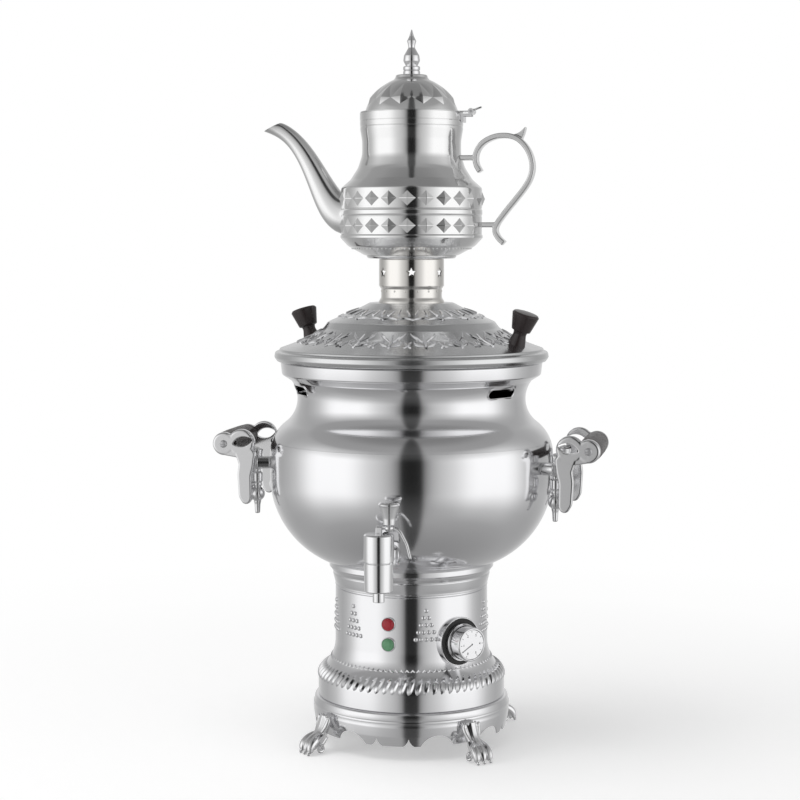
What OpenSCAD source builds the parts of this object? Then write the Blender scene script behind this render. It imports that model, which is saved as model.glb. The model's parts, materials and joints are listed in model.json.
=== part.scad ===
// Electric samovar: a steel water tank on a heated base, with a front tap, two turning
// side grips, a lift-off lid with a steam crown, and a teapot that stands on the crown.
// Origin: the tank's axis where it meets the table. The tap faces -Y, the spout -X.

/* [Tank] */
// Outside diameter of the tank's belly
tank_d = 270; // [262:1:276]
// Height of the widest point of the bowl above the table
bowl_mid_z = 256; // [252:1:260]
// Radius of the bowl's lower curve, seen in section
bowl_curve_r = 89; // [87:1:93]
// Height of the tank's floor above the table
floor_z = 171; // [169:1:173]
// Thickness of the tank's sheet steel
tank_wall = 1; // [0.8:0.1:1.4]
// Radius of the shoulder above the belly, seen in section
shoulder_r = 38; // [34:1:42]
// Height of the seam between the bowl and the neck
seam_z = 289; // [284:1:294]
// Outside diameter of the neck at its waist
neck_d = 217; // [212:1:222]
// Height of the neck's waist above the table
neck_z = 329; // [327:1:332]
// Radius of the hollow curve of the neck, seen in section
cove_r = 28.8; // [27:0.2:31]
// Outside diameter of the band round the mouth
mouth_d = 248.8; // [245:0.2:252]
// Height of the mouth's top edge above the table
mouth_z = 364; // [362:1:368]
// Width of the ledge turned in at the mouth
mouth_ledge = 5.4; // [4:0.2:7]
// Number of steam vents round the neck
vent_count = 3; // [2:1:5]
// Width of a steam vent
vent_w = 37; // [24:1:42]
// Height of a steam vent
vent_h = 8.6; // [6:0.2:9.6]
// Height of the pressed lip round a vent
vent_lip = 1.2; // [0.6:0.1:2]

/* [Base] */
// Outside diameter of the bell's upper tube
bell_d = 145.4; // [142:0.2:147]
// Outside diameter of the bell's lower bulge
bulge_d = 178.8; // [176:0.2:181]
// Height of the bell's lower edge above the table
bell_z = 44.6; // [43:0.2:47]
// Height of the bell's top above the table
bell_top_z = 149; // [146:1:151]
// Sheet thickness of the base's shells
base_wall = 1; // [0.8:0.1:1.4]
// Largest diameter of the collar under the tank
collar_d = 157; // [154:1:160]
// Number of slanted ribs pressed round the bulge
rib_count = 60; // [48:1:66]
// Height of a rib above the sheet
rib_height = 1.4; // [0.8:0.1:2]
// Outside diameter of the skirt
skirt_d = 188.6; // [186:0.2:191]
// Height of the skirt's scalloped edge above the table
skirt_z = 14; // [12:1:17]
// Thickness of the plate that closes the base
plate_t = 1.5; // [1:0.1:2.5]
// Number of screws that hold the plate
plate_screws = 6; // [4:1:8]

/* [Feet] */
// Distance from the axis to the tip of a foot's toes
toe_reach = 122; // [118:1:126]
// Width of a paw
paw_w = 21; // [18:1:24]
// Height of a foot's leaf above the table
foot_h = 38; // [34:1:41]

/* [Controls] */
// Height of the thermostat knob's axis
knob_z = 106; // [102:1:110]
// Direction of the thermostat, in degrees from the tap
knob_azimuth = 48; // [44:1:54]
// Diameter of the thermostat knob
knob_d = 35; // [30:1:38]
// Length of the thermostat knob
knob_len = 17; // [13:1:20]
// Diameter of the dial ring behind the knob
dial_d = 46; // [42:1:50]
// Direction of the lamps, in degrees from the tap
lamp_azimuth = -6; // [-12:1:0]
// Height of the upper, red lamp
lamp_z = 124; // [122:1:130]
// Distance between the two lamps
lamp_pitch = 19; // [17:0.5:22]
// Diameter of a lamp's lens
lens_d = 11.5; // [9:0.5:13]
// Diameter of the mains cord that the gland takes
cord_d = 7.5; // [6:0.5:9]

/* [Tap] */
// Height of the tap's inlet pipe above the table
tap_z = 197; // [193:1:200]
// Distance from the tank's axis to the tap's upright barrel
tap_reach = 151; // [148:1:158]
// Diameter of the upright barrel
barrel_d = 27; // [24:0.5:29]
// Height of the barrel above the inlet pipe
barrel_up = 25; // [23:0.5:28]
// Depth of the barrel below the inlet pipe
barrel_down = 27.5; // [25:0.5:31]
// Outside diameter of the outlet nozzle
nozzle_d = 10.8; // [9:0.2:12]
// Bore of the outlet nozzle
nozzle_bore = 7.6; // [6:0.2:8]
// Length of nozzle below the barrel
nozzle_len = 9.5; // [6:0.5:14]
// Height of the lever's knob
lever_knob_h = 25; // [20:1:30]
// Diameter of the lever's knob at its top
lever_knob_d = 20; // [16:0.5:24]

/* [Side handles] */
// Distance from the tank's axis to a grip's axis
grip_reach = 173.4; // [170:0.2:178]
// Height of the grips' axes above the table
grip_z = 285.5; // [282:0.5:288]
// Diameter of a grip
grip_d = 23; // [20:0.5:25]
// Length of a grip
grip_len = 75; // [68:1:84]
// Thickness of a cast cheek
cheek_t = 7; // [5:0.5:9]
// Diameter of the rod through a grip
rod_d = 6; // [5:0.5:8]

/* [Lid] */
// Outside diameter of the lid's rolled rim
lid_d = 260.4; // [258:0.2:264]
// Sheet thickness of the lid
lid_wall = 1; // [0.8:0.1:1.4]
// Height of the lid's flat top above the table
lid_top_z = 419.5; // [416:0.5:424]
// Depth of the ring that locates the lid in the mouth
lid_ring_h = 11; // [7:0.5:14]
// Turn of the lid's two knobs from the side handles
lid_turn = 16; // [0:1:60]
// Distance from the axis to a lid knob
lid_knob_reach = 109; // [104:0.5:112]
// Height of a lid knob
lid_knob_h = 31; // [26:1:36]
// Diameter of a lid knob at its top
lid_knob_d = 25.4; // [22:0.2:28]

/* [Crown] */
// Outside diameter of the crown
crown_d = 61.6; // [58:0.2:64]
// Height of the crown's top edge above the table
crown_top_z = 461; // [456:1:468]
// Sheet thickness of the crown
crown_wall = 0.8; // [0.6:0.1:1.2]
// Number of stars cut in the crown
star_count = 6; // [4:1:8]
// Diameter of a star
star_d = 9; // [7:0.5:11]

/* [Teapot] */
// Outside diameter of the teapot's belly
pot_d = 133; // [130:0.5:136]
// Outside diameter of the teapot's neck
pot_neck_d = 93.2; // [90:0.2:95]
// Outside diameter of the teapot's rim
pot_rim_d = 97.4; // [96:0.2:99]
// Height of the teapot from its seat to its rim
pot_h = 136; // [133:0.5:139]
// Sheet thickness of the teapot
pot_wall = 0.8; // [0.6:0.1:1.2]
// Number of pyramids in each of the two rows
gem_count = 24; // [20:1:26]
// Height of a pyramid above the sheet
gem_height = 2.4; // [1.6:0.1:3]
// Reach of the spout's tip from the axis
spout_reach = 135; // [128:1:142]
// Wall thickness of the spout
spout_wall = 0.9; // [0.8:0.1:1.2]
// Width of the teapot handle's strip
strip_w = 13; // [10:0.5:16]
// Thickness of the teapot handle's strip
strip_t = 4; // [3:0.2:5]
// Radius of the lid's dome, seen in section
dome_r = 45.6; // [45:0.2:47]
// Height of the finial above the lid
finial_h = 42; // [34:1:50]

/* [Hidden] */

$fn = 96;
arc_step = 7;              // largest turn of one piece of a curve, in degrees
seat_gap = 0.3;            // between pieces of different bodies that rest on each other
skin_gap = 0.05;           // between fixed pieces that follow the same curved sheet
run_gap = 0.05;            // round a shaft that turns in its bore
slip_gap = 0.7;            // round a ring that drops into a mouth

// ---------------------------------------------------------------- curves and outlines
function unit(v) = v / norm(v);
function flat(p) = [p[0], p[1]];

// Points of an arc about c from angle a0 to angle a1
function arc(c, r, a0, a1) =
    let (n = max(1, ceil(abs(a1 - a0) / arc_step)))
    [for (i = [0:n]) let (a = a0 + (a1 - a0) * i / n) c + r * [cos(a), sin(a)]];

// Corner b of a path, rounded to radius r between its neighbours a and c
function corner(a, b, c, r) =
    let (u = unit(a - b), v = unit(c - b), half = acos(u * v) / 2)
    half > 89 ? [b] :
    let (middle = b + unit(u + v) * r / sin(half),
         start = b + u * r / tan(half) - middle,
         a0 = atan2(start[1], start[0]))
    arc(middle, r, a0, a0 + sign(cross(v, u)) * (180 - 2 * half));

// A path through corners [x, y] or [x, y, radius]
function rounded(p) = [for (i = [0:len(p) - 1])
    each (i == 0 || i == len(p) - 1 || len(p[i]) < 3) ? [flat(p[i])]
        : corner(flat(p[i - 1]), flat(p[i]), flat(p[i + 1]), p[i][2])];

// The same path moved to its left by d
function moved_left(path, d) = [for (i = [0:len(path) - 1])
    let (a = i > 0 ? unit(path[i] - path[i - 1]) : unit(path[1] - path[0]),
         b = i < len(path) - 1 ? unit(path[i + 1] - path[i]) : a)
    path[i] + d * [-a[1] - b[1], a[0] + b[0]] / (1 + a * b)];

function reversed(path) = [for (i = [len(path) - 1:-1:0]) path[i]];

// Cross-section of sheet metal that follows a path, t thick on the path's left
module sheet(path, t) {
    polygon(concat(path, reversed(moved_left(path, t))));
}

// Everything between a path and the axis
module inside(path) {
    last = path[len(path) - 1];
    polygon(concat(path, [[0, last[1]], [0, path[0][1]]]));
}

// Turns a piece drawn along +X to a direction, in degrees from the tap
module around(azimuth) {
    rotate([0, 0, azimuth - 90]) children();
}

// A cylinder along the radius, from distance a to distance b, at height z
module spoke(r, a, b, z) {
    translate([a, 0, z]) rotate([0, 90, 0]) cylinder(r = r, h = b - a);
}

// A hexagon nut or head along +Z, bored to radius bore
module hex_nut(across_flats, h, bore) {
    difference() {
        cylinder(d = across_flats / cos(30), h = h, $fn = 6);
        translate([0, 0, -1]) cylinder(r = bore, h = h + 2);
    }
}

// A slot with round ends, drawn flat, w wide and h high
module stadium(w, h) {
    square([w - h, h], center = true);
    for (s = [-1, 1]) translate([s * (w - h) / 2, 0]) circle(d = h);
}

// ---------------------------------------------------------------- tank
belly_r = tank_d / 2;
bowl_cx = belly_r - bowl_curve_r;
neck_r = neck_d / 2;
mouth_r = mouth_d / 2;
shoulder_cx = belly_r - shoulder_r;
cove_cx = neck_r + cove_r;
shoulder_z = neck_z - sqrt(pow(shoulder_r + cove_r, 2) - pow(cove_cx - shoulder_cx, 2));
tangent_a = atan2(neck_z - shoulder_z, cove_cx - shoulder_cx);
band_h = 15;                                  // upright band under the mouth's edge
cove_end_z = mouth_z - band_h - 2.5;
vent_z = neck_z + 4;

// Outside radius of the tank at height z
function tank_r(z) =
    z < bowl_mid_z ? bowl_cx + sqrt(pow(bowl_curve_r, 2) - pow(z - bowl_mid_z, 2)) :
    z < shoulder_z ? belly_r :
    z < shoulder_z + shoulder_r * sin(tangent_a) ?
        shoulder_cx + sqrt(pow(shoulder_r, 2) - pow(z - shoulder_z, 2)) :
    cove_cx - sqrt(pow(cove_r, 2) - pow(z - neck_z, 2));

// Height of the bowl's underside at radius r
function bowl_z(r) = bowl_mid_z - sqrt(pow(bowl_curve_r, 2) - pow(r - bowl_cx, 2));

bowl_path = concat([[0, floor_z]],
    arc([bowl_cx, bowl_mid_z], bowl_curve_r, asin((floor_z - bowl_mid_z) / bowl_curve_r), 0),
    arc([shoulder_cx, shoulder_z], shoulder_r, 0, tangent_a));
cove_path = arc([cove_cx, neck_z], cove_r, 180 + tangent_a,
    180 - asin((cove_end_z - neck_z) / cove_r));
mouth_path = rounded([cove_path[len(cove_path) - 1], [mouth_r - 1.4, mouth_z - band_h + 3, 2.5],
    [mouth_r, mouth_z, 1.6], [mouth_r - mouth_ledge, mouth_z]]);
function tail(path) = [for (i = [1:len(path) - 1]) path[i]];
tank_path = concat(bowl_path, tail(cove_path), tail(mouth_path));

heater_azimuths = [165, 195];
heater_reach = 45;
heater_bush_d = 14;
bush_gap = 0.2;

module tank_bowl() {
    color("gainsboro") difference() {
        rotate_extrude() intersection() {
            sheet(tank_path, tank_wall);
            square([belly_r + 1, seam_z]);
        }
        for (a = heater_azimuths) around(a)
            translate([heater_reach, 0, floor_z - 1])
                cylinder(d = heater_bush_d + bush_gap, h = tank_wall + 2);
        around(0) spoke(shank_r + skin_gap, tap_reach - 90, tap_reach, tap_z);
        handle_screw_places() spoke(handle_screw_d / 2 + 0.2, belly_r - 8, belly_r + 2, mount_z);
    }
}

module vent_bar(w, h) {
    translate([neck_r - 8, 0, vent_z]) rotate([90, 0, 90]) linear_extrude(20) stadium(w, h);
}

module tank_neck() {
    lip_path = moved_left(concat(tail(arc([shoulder_cx, shoulder_z], shoulder_r, tangent_a - 9,
        tangent_a)), tail(cove_path)), -vent_lip);
    color("gainsboro") difference() {
        union() {
            rotate_extrude() intersection() {
                sheet(tank_path, tank_wall);
                translate([0, seam_z]) square([belly_r + 1, mouth_z]);
            }
            for (i = [0:vent_count - 1]) intersection() {
                around(180 + i * 360 / vent_count)
                    vent_bar(vent_w + 2 * vent_lip, vent_h + 2 * vent_lip);
                rotate_extrude() sheet(lip_path, vent_lip + tank_wall / 2);
            }
        }
        for (i = [0:vent_count - 1]) around(180 + i * 360 / vent_count) vent_bar(vent_w, vent_h);
    }
}

// ---------------------------------------------------------------- base
bell_r = bell_d / 2;
bulge_r = bulge_d / 2;
collar_r = collar_d / 2;
stud_reach = min(bell_r - 7, collar_r - 12.8);   // inside both the bell and the collar
flange_in_r = stud_reach - 7;
shoulder_drop = 66;                           // from the bell's top to its shoulder
bulge_z = bell_z + 22;                        // where the slope meets the bulge
bulge_curve = 14;
skirt_r = skirt_d / 2;
seam_r = min(bulge_r, skirt_r - 4.9);         // outer edge of the flange where bell and skirt meet
seam_in_r = seam_r - 14;
stud_d = 6;
stud_len = floor_z - bell_top_z + 11;
stud_azimuths = [45, 135, 225, 315];

module stud_holes(z) {
    for (a = stud_azimuths) around(a)
        translate([stud_reach, 0, z - 2]) cylinder(d = stud_d + 0.4, h = 4);
}

module tank_collar() {
    color("silver") difference() {
        rotate_extrude() sheet(rounded([[flange_in_r, bell_top_z], [bell_r - 0.4, bell_top_z, 1.2],
            [bell_r - 0.2, bell_top_z + 4, 6], [collar_r - 2.5, bell_top_z + 15.5, 6],
            [collar_r, bell_top_z + 19, 1.5],
            [collar_r, bowl_z(collar_r - base_wall) - skin_gap]]), base_wall);
        stud_holes(bell_top_z);
    }
}

bell_path = rounded([[flange_in_r, bell_top_z], [bell_r, bell_top_z, 1.2],
    [bell_r + 0.4, bell_top_z - shoulder_drop, 16], [bulge_r, bulge_z, bulge_curve],
    [bulge_r, bell_z, 1], [seam_in_r, bell_z]]);

// The stretch of the bell that carries the ribs: on the slope above, on the bulge below
slope = unit([bulge_r - bell_r - 0.4, bulge_z - bell_top_z + shoulder_drop]);
bulge_centre = [bulge_r - bulge_curve, bulge_z - bulge_curve * tan((90 - atan2(-slope[1],
    slope[0])) / 2)];
slope_normal = [-slope[1], slope[0]];
slope_a = atan2(slope_normal[1], slope_normal[0]);
rib_stations = [
    bulge_centre + bulge_curve * slope_normal - 8.5 * slope,
    bulge_centre + bulge_curve * slope_normal,
    bulge_centre + bulge_curve * [cos(slope_a / 2), sin(slope_a / 2)],
    bulge_centre + [bulge_curve, 0]];
rib_normals = [slope_normal, slope_normal, [cos(slope_a / 2), sin(slope_a / 2)], [1, 0]];

// A point over rib station i, raised by h, at an angle about the axis
function on_bell(i, h, a) = let (p = rib_stations[i] + h * rib_normals[i])
    [p[0] * cos(a), p[0] * sin(a), p[1]];

module rib() {
    lean = 0.32 * 360 / rib_count;            // slant from one station to the next
    half = 0.36 * 360 / rib_count;            // half of the rib's width
    sunk = -base_wall / 3;
    polyhedron(
        points = [on_bell(0, sunk, 0),
            on_bell(1, sunk, lean - half), on_bell(1, rib_height, lean), on_bell(1, sunk, lean + half),
            on_bell(2, sunk, 2 * lean - half), on_bell(2, rib_height, 2 * lean),
            on_bell(2, sunk, 2 * lean + half),
            on_bell(3, sunk, 3 * lean)],
        faces = [[0, 2, 1], [0, 3, 2], [1, 2, 5], [1, 5, 4], [2, 3, 6], [2, 6, 5],
            [4, 5, 7], [5, 6, 7], [0, 1, 3], [1, 4, 6], [1, 6, 3], [4, 7, 6]]);
}

module base_bell() {
    color("silver") difference() {
        union() {
            rotate_extrude() sheet(bell_path, -base_wall);
            for (i = [0:rib_count - 1]) rotate([0, 0, i * 360 / rib_count]) rib();
        }
        stud_holes(bell_top_z);
        around(knob_azimuth) spoke(bush_r + 0.3, bell_r - 10, bell_r + 10, knob_z);
        for (z = [lamp_z, lamp_z - lamp_pitch])
            around(lamp_azimuth) spoke(lamp_barrel_r + bush_gap, bell_r - 10, bell_r + 10, z);
        around(180) spoke(gland_r + bush_gap, bell_r - 10, bell_r + 10, gland_z);
        plate_screw_holes(plate_screw_d / 2 + skin_gap, bell_z);
    }
}

skirt_path = rounded([[seam_in_r, bell_z], [skirt_r - 1.8, bell_z, 2.2],
    [skirt_r, bell_z - 10, 12], [skirt_r - 1.2, skirt_z + 9, 20], [skirt_r - 3.4, skirt_z]]);
arch_r = 17;
arch_azimuth = 26.5;
arch_rise = 10.5;
notch_azimuth = 9.5;
notch_rise = 7;
notch_r = 2.2;

module base_skirt() {
    color("silver") difference() {
        rotate_extrude() sheet(skirt_path, -base_wall);
        for (q = [0:90:270], s = [-1, 1]) {
            around(q + s * arch_azimuth)
                spoke(arch_r, skirt_r - 16, skirt_r + 4, skirt_z + arch_rise - arch_r);
            around(q + s * notch_azimuth)
                spoke(notch_r, skirt_r - 16, skirt_r + 4, skirt_z + notch_rise - notch_r);
            around(q + s * notch_azimuth) translate([skirt_r - 16, -notch_r / 2, 0])
                cube([20, notch_r, skirt_z + notch_rise - notch_r]);
        }
        for (a = foot_azimuths) around(a)
            spoke(foot_screw_d / 2 + 0.2, skirt_r - 8, skirt_r + 2, foot_screw_z);
        plate_screw_holes(plate_screw_d / 2 + 0.2, bell_z);
    }
}

plate_screw_d = 4;
plate_screw_reach = seam_r - 7.5;
plate_z = bell_z - base_wall - plate_t;

module plate_screw_holes(r, z) {
    for (i = [0:plate_screws - 1]) around((i + 0.5) * 360 / plate_screws)
        translate([plate_screw_reach, 0, z - 3]) cylinder(r = r, h = 6);
}

module bottom_plate() {
    color("dimgray") difference() {
        translate([0, 0, plate_z]) cylinder(r = seam_r - 1, h = plate_t);
        plate_screw_holes(plate_screw_d / 2 + 0.2, plate_z);
        for (row = [0, 1], a = [0:60:300]) rotate([0, 0, a + 22 + 14 * row])
            translate([22 + 14 * row, 0, plate_z - 1]) cylinder(d = 6, h = plate_t + 2);
    }
}

module bottom_screws() {
    color("gray") for (i = [0:plate_screws - 1]) around((i + 0.5) * 360 / plate_screws)
        translate([plate_screw_reach, 0, 0]) {
            translate([0, 0, plate_z - 2.4]) cylinder(d = 7.4, h = 2.4);
            translate([0, 0, plate_z - 1]) cylinder(d = plate_screw_d, h = plate_t + 7);
        }
}

module tie_studs() {
    nut_h = 5;
    color("gray") for (a = stud_azimuths) around(a) translate([stud_reach, 0, 0]) {
        translate([0, 0, floor_z - stud_len]) cylinder(d = stud_d, h = stud_len);
        translate([0, 0, bell_top_z - base_wall - nut_h])
            hex_nut(10, nut_h, stud_d / 2 + run_gap);
    }
}

// ---------------------------------------------------------------- feet
foot_azimuths = [-45, 45, 135, 225];
foot_screw_d = 4;
foot_screw_z = skirt_z + 13;
sole_back = toe_reach - 18;

module foot_side() {
    polygon(rounded([[skirt_r - 10, foot_h], [skirt_r + 3, foot_h, 1.5],
        [skirt_r + 6.5, foot_h - 6, 4], [skirt_r + 7.5, foot_h - 17, 10],
        [toe_reach - 12, 15, 5], [toe_reach - 3, 11, 5], [toe_reach, 5.5, 4],
        [toe_reach - 0.8, 0], [sole_back, 0], [sole_back - 2, 6, 5],
        [skirt_r + 1, skirt_z - 2.5, 3], [skirt_r - 10, skirt_z - 2.5]]));
}

module foot_front() {
    half = [[paw_w / 2, 0], [paw_w / 2, 9, 4], [paw_w / 2 - 4.5, 17.5, 6],
        [paw_w / 2 - 0.8, foot_h - 8, 6], [paw_w / 2 - 3, foot_h - 1.5, 3]];
    polygon(rounded(concat(half, [[0, foot_h + 1, 4]],
        [for (p = reversed(half)) len(p) > 2 ? [-p[0], p[1], p[2]] : [-p[0], p[1]]])));
}

module foot(azimuth) {
    toe_groove = paw_w / 6;
    color("silver") around(azimuth) difference() {
        intersection() {
            rotate([90, 0, 0]) linear_extrude(paw_w + 2, center = true) foot_side();
            rotate([90, 0, 90]) linear_extrude(toe_reach + 5) foot_front();
        }
        rotate_extrude() inside(moved_left(skirt_path, skin_gap));
        for (s = [-1, 1]) {
            translate([toe_reach + 0.6, s * toe_groove, -1]) cylinder(r = 1.7, h = 14);
            translate([toe_reach - 16, s * toe_groove, 18]) rotate([0, 118, 0])
                cylinder(r = 1.5, h = 26);
            translate([skirt_r + 9.5, s * toe_groove * 0.8, foot_h - 20])
                rotate([-s * 9, -11, 0]) cylinder(r = 2.1, h = 26);
        }
        spoke(foot_screw_d / 2 + run_gap, skirt_r - 4, skirt_r + 5, foot_screw_z);
    }
}

module foot_screws() {
    seat = skirt_r - 2.6 - base_wall;
    color("gray") for (a = foot_azimuths) around(a) {
        spoke(3.4, seat - 2.2, seat, foot_screw_z);
        spoke(foot_screw_d / 2, seat - 1, skirt_r + 4.5, foot_screw_z);
    }
}

// ---------------------------------------------------------------- heater and controls
tube_d = 8;
gasket_t = 1.5;
loop_z = floor_z + 22;

module heating_element() {
    gap = heater_azimuths[1] - heater_azimuths[0];
    color("slategray") {
        rotate([0, 0, heater_azimuths[1] - 90]) rotate_extrude(angle = 360 - gap)
            translate([heater_reach, loop_z]) circle(d = tube_d);
        for (a = heater_azimuths) around(a) translate([heater_reach, 0, 0]) {
            translate([0, 0, floor_z - 17]) cylinder(d = tube_d, h = loop_z - floor_z + 17);
            translate([0, 0, loop_z]) sphere(d = tube_d);
            translate([0, 0, floor_z - 12]) cylinder(d = heater_bush_d, h = 12 + tank_wall + gasket_t);
            translate([0, 0, floor_z + tank_wall + gasket_t]) cylinder(d = 20, h = 3);
        }
    }
}

module heater_gaskets() {
    color("firebrick") for (a = heater_azimuths) around(a)
        translate([heater_reach, 0, floor_z + tank_wall]) difference() {
            cylinder(d = 20, h = gasket_t);
            translate([0, 0, -1]) cylinder(d = heater_bush_d + 0.1, h = gasket_t + 2);
        }
}

module heater_nuts() {
    nut_h = 5;
    color("gray") for (a = heater_azimuths) around(a)
        translate([heater_reach, 0, floor_z - nut_h])
            hex_nut(19, nut_h, heater_bush_d / 2 + run_gap);
}

shaft_r = 3;
bush_r = 5;
body_w = 34;
body_h = 28;
body_in = bell_r - 36;                        // back of the thermostat's case
body_out = bell_r - 6;                        // front of the thermostat's case
bulb_r = 3.2;
capillary_r = 0.9;
capillary_bend = 6;
capillary_reach = body_in + 10;

module thermostat_body() {
    color("wheat") around(knob_azimuth) difference() {
        union() {
            translate([body_in, -body_w / 2, knob_z - body_h / 2])
                cube([body_out - body_in, body_w, body_h]);
            spoke(bush_r, body_out - 1, bell_r + 1.5, knob_z);
            for (s = [-1, 1]) translate([body_in - 5, s * 9 - 1.5, knob_z - 3]) cube([6, 3, 6]);
        }
        spoke(shaft_r + run_gap, body_out - 12, bell_r + 3, knob_z);
    }
}

module thermostat_bulb() {
    bulb_z = floor_z - skin_gap - bulb_r;
    color("peru") around(knob_azimuth) {
        spoke(bulb_r, -12, capillary_reach - capillary_bend, bulb_z);
        translate([capillary_reach - capillary_bend, 0, bulb_z - capillary_bend])
            rotate([90, 0, 0]) rotate_extrude(angle = 90)
                translate([capillary_bend, 0]) circle(r = capillary_r);
        translate([capillary_reach, 0, knob_z + body_h / 2])
            cylinder(r = capillary_r, h = bulb_z - capillary_bend - knob_z - body_h / 2);
    }
}

dial_face = bell_r + 3.6;
knob_back = dial_face + 0.5;

module thermostat_shaft() {
    color("gray") around(knob_azimuth)
        spoke(shaft_r, body_out - 11, knob_back + knob_len - 5, knob_z);
}

module dial_ring() {
    color("silver") difference() {
        around(knob_azimuth) translate([0, 0, knob_z]) rotate([0, 90, 0]) rotate_extrude()
            polygon(rounded([[bush_r + 1, bell_r - 8], [dial_d / 2, bell_r - 8],
                [dial_d / 2, dial_face, 1.4], [dial_d / 2 - 2.5, dial_face, 0.4],
                [dial_d / 2 - 3.2, dial_face - 0.6], [bush_r + 1, dial_face - 0.6]]));
        rotate_extrude() inside(moved_left(bell_path, skin_gap));
    }
}

module thermostat_knob() {
    color("silver") around(knob_azimuth) translate([knob_back, 0, knob_z]) rotate([0, 90, 0])
        difference() {
            rotate_extrude() polygon(rounded([[0, 0], [knob_d / 2, 0], [knob_d / 2, 3, 0.8],
                [knob_d / 2 - 1.2, 4.2], [knob_d / 2 - 1.6, knob_len, 1.5],
                [knob_d / 2 - 3.4, knob_len, 0.4], [knob_d / 2 - 4, knob_len - 0.8],
                [0, knob_len - 0.8]]));
            translate([0, 0, -1]) cylinder(r = shaft_r + run_gap, h = knob_len - 3.95);
            translate([-knob_d / 2 + 3, -0.7, knob_len - 1.4]) cube([knob_d / 2 - 6, 1.4, 2]);
        }
}

lamp_barrel_r = 5;
lens_r = lens_d / 2;

module lamp(z) {
    around(lamp_azimuth) {
        difference() {
            translate([0, 0, z]) rotate([0, 90, 0]) rotate_extrude()
                polygon(rounded([[0, bell_r - 20], [lamp_barrel_r, bell_r - 20],
                    [lamp_barrel_r, bell_r - 3], [lens_r + 1.2, bell_r - 3],
                    [lens_r + 1.2, bell_r + 1.3, 0.6], [lens_r, bell_r + 1.3],
                    [lens_r, bell_r + 2, 1.2], [lens_r * 0.6, bell_r + 3.6, 3], [0, bell_r + 4]]));
            difference() {
                rotate_extrude() inside(moved_left(bell_path, skin_gap));
                spoke(lamp_barrel_r, 0, bell_r + 9, z);
            }
        }
        for (s = [-1, 1]) translate([bell_r - 26, s * 2.5 - 0.4, z - 1.5]) cube([7, 0.8, 3]);
    }
}

module lamp_red() { color("darkred") lamp(lamp_z); }
module lamp_green() { color("seagreen") lamp(lamp_z - lamp_pitch); }

module terminal_block() {
    w = 44;
    color("ivory") translate([-w / 2, 20, plate_z + plate_t]) difference() {
        union() {
            cube([w, 18, 9]);
            for (i = [0:3]) translate([i * 11 + 0.6, 2, 8]) cube([9.8, 14, 6]);
        }
        for (i = [0:3]) translate([i * 11 + 5.5, 9, 5]) cylinder(d = 4.4, h = 12);
        for (i = [0:3]) translate([i * 11 + 5.5, -1, 6]) rotate([-90, 0, 0]) cylinder(d = 3.4, h = 20);
    }
}

module thermal_cutout() {
    color("silver") around(250) translate([30, 0, floor_z - skin_gap]) mirror([0, 0, 1]) {
        cylinder(d = 24, h = 1);
        cylinder(d = 16, h = 9);
        for (s = [-1, 1]) translate([s * 4 - 0.4, -3, 8]) cube([0.8, 6, 9]);
    }
}

gland_r = 8;
gland_z = bell_top_z - 45;

module cord_gland() {
    color("black") difference() {
        around(180) translate([0, 0, gland_z]) rotate([0, 90, 0]) difference() {
            rotate_extrude() polygon(rounded([[0, bell_r - 12], [gland_r, bell_r - 12],
                [gland_r, bell_r - 3], [gland_r + 3, bell_r - 3], [gland_r + 3, bell_r + 3, 0.8],
                [gland_r - 0.5, bell_r + 3.6, 0.5], [gland_r - 2, bell_r + 14, 2],
                [0, bell_r + 14]]));
            translate([0, 0, bell_r - 20]) cylinder(d = cord_d, h = 40);
        }
        difference() {
            rotate_extrude() inside(moved_left(bell_path, skin_gap));
            around(180) spoke(gland_r, 0, bell_r + 20, gland_z);
        }
    }
}

// ---------------------------------------------------------------- tap
shank_r = 8;
shank_bore = 5;
saddle_r = 12.5;
saddle_x = tank_r(tap_z + saddle_r) + 1.6;    // front of the saddle on the sloping bowl
shank_end = saddle_x + 7;
union_r = 6.2;                                // the tap's own inlet pipe
inlet_r = 4.4;                                // its bore
barrel_r = barrel_d / 2;
barrel_top = tap_z + barrel_up;
barrel_foot = tap_z - barrel_down;
plug_r = 9;
seat_z = barrel_foot + 8.5;                   // valve seat on top of the nozzle's plug
chamber_r = 8;
chamber_top = tap_z + 5.5;
slot_z = barrel_top - 12;                     // floor of the slot that the lever swings in
seal_t = 3;
stem_r = 3;
pin_z = barrel_top - 4.5;
pin_r = 1.5;
cam_r = 5;                                    // the lever's round cam, off its pivot's centre
cam_off = 2.4;
cam_a = 40;                                   // turn of the cam's centre from straight down
cam_gap = 0.1;
blade_t = 5;
blade_gap = 0.3;
lever_x = tap_reach - 2;
lever_side = 9;                               // the knob stands to the right of the barrel
bridge_z = barrel_top + 3.4;

module tap_shank() {
    color("silver") around(0) difference() {
        union() {
            spoke(shank_r, tank_r(tap_z) - 8, shank_end, tap_z);
            difference() {
                spoke(saddle_r, tank_r(tap_z - saddle_r) - 3, saddle_x, tap_z);
                rotate_extrude() inside(moved_left(tank_path, -skin_gap));
            }
        }
        spoke(shank_bore, tank_r(tap_z) - 9, shank_end + 1, tap_z);
    }
}

module tap_gasket() {
    color("firebrick") around(0) difference() {
        spoke(shank_r, shank_end, shank_end + gasket_t, tap_z);
        spoke(shank_bore, shank_end - 1, shank_end + gasket_t + 1, tap_z);
    }
}

module tap_nut() {
    nut_front = shank_end + gasket_t + 4.4;
    color("silver") around(0) difference() {
        translate([saddle_x + 0.5, 0, tap_z]) rotate([0, 90, 0])
            cylinder(d = 24 / cos(30), h = nut_front - saddle_x - 0.5, $fn = 6);
        spoke(shank_r + run_gap, saddle_x, shank_end + gasket_t + 2.1, tap_z);
        spoke(union_r + 0.1, saddle_x, nut_front + 1, tap_z);
    }
}

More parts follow.
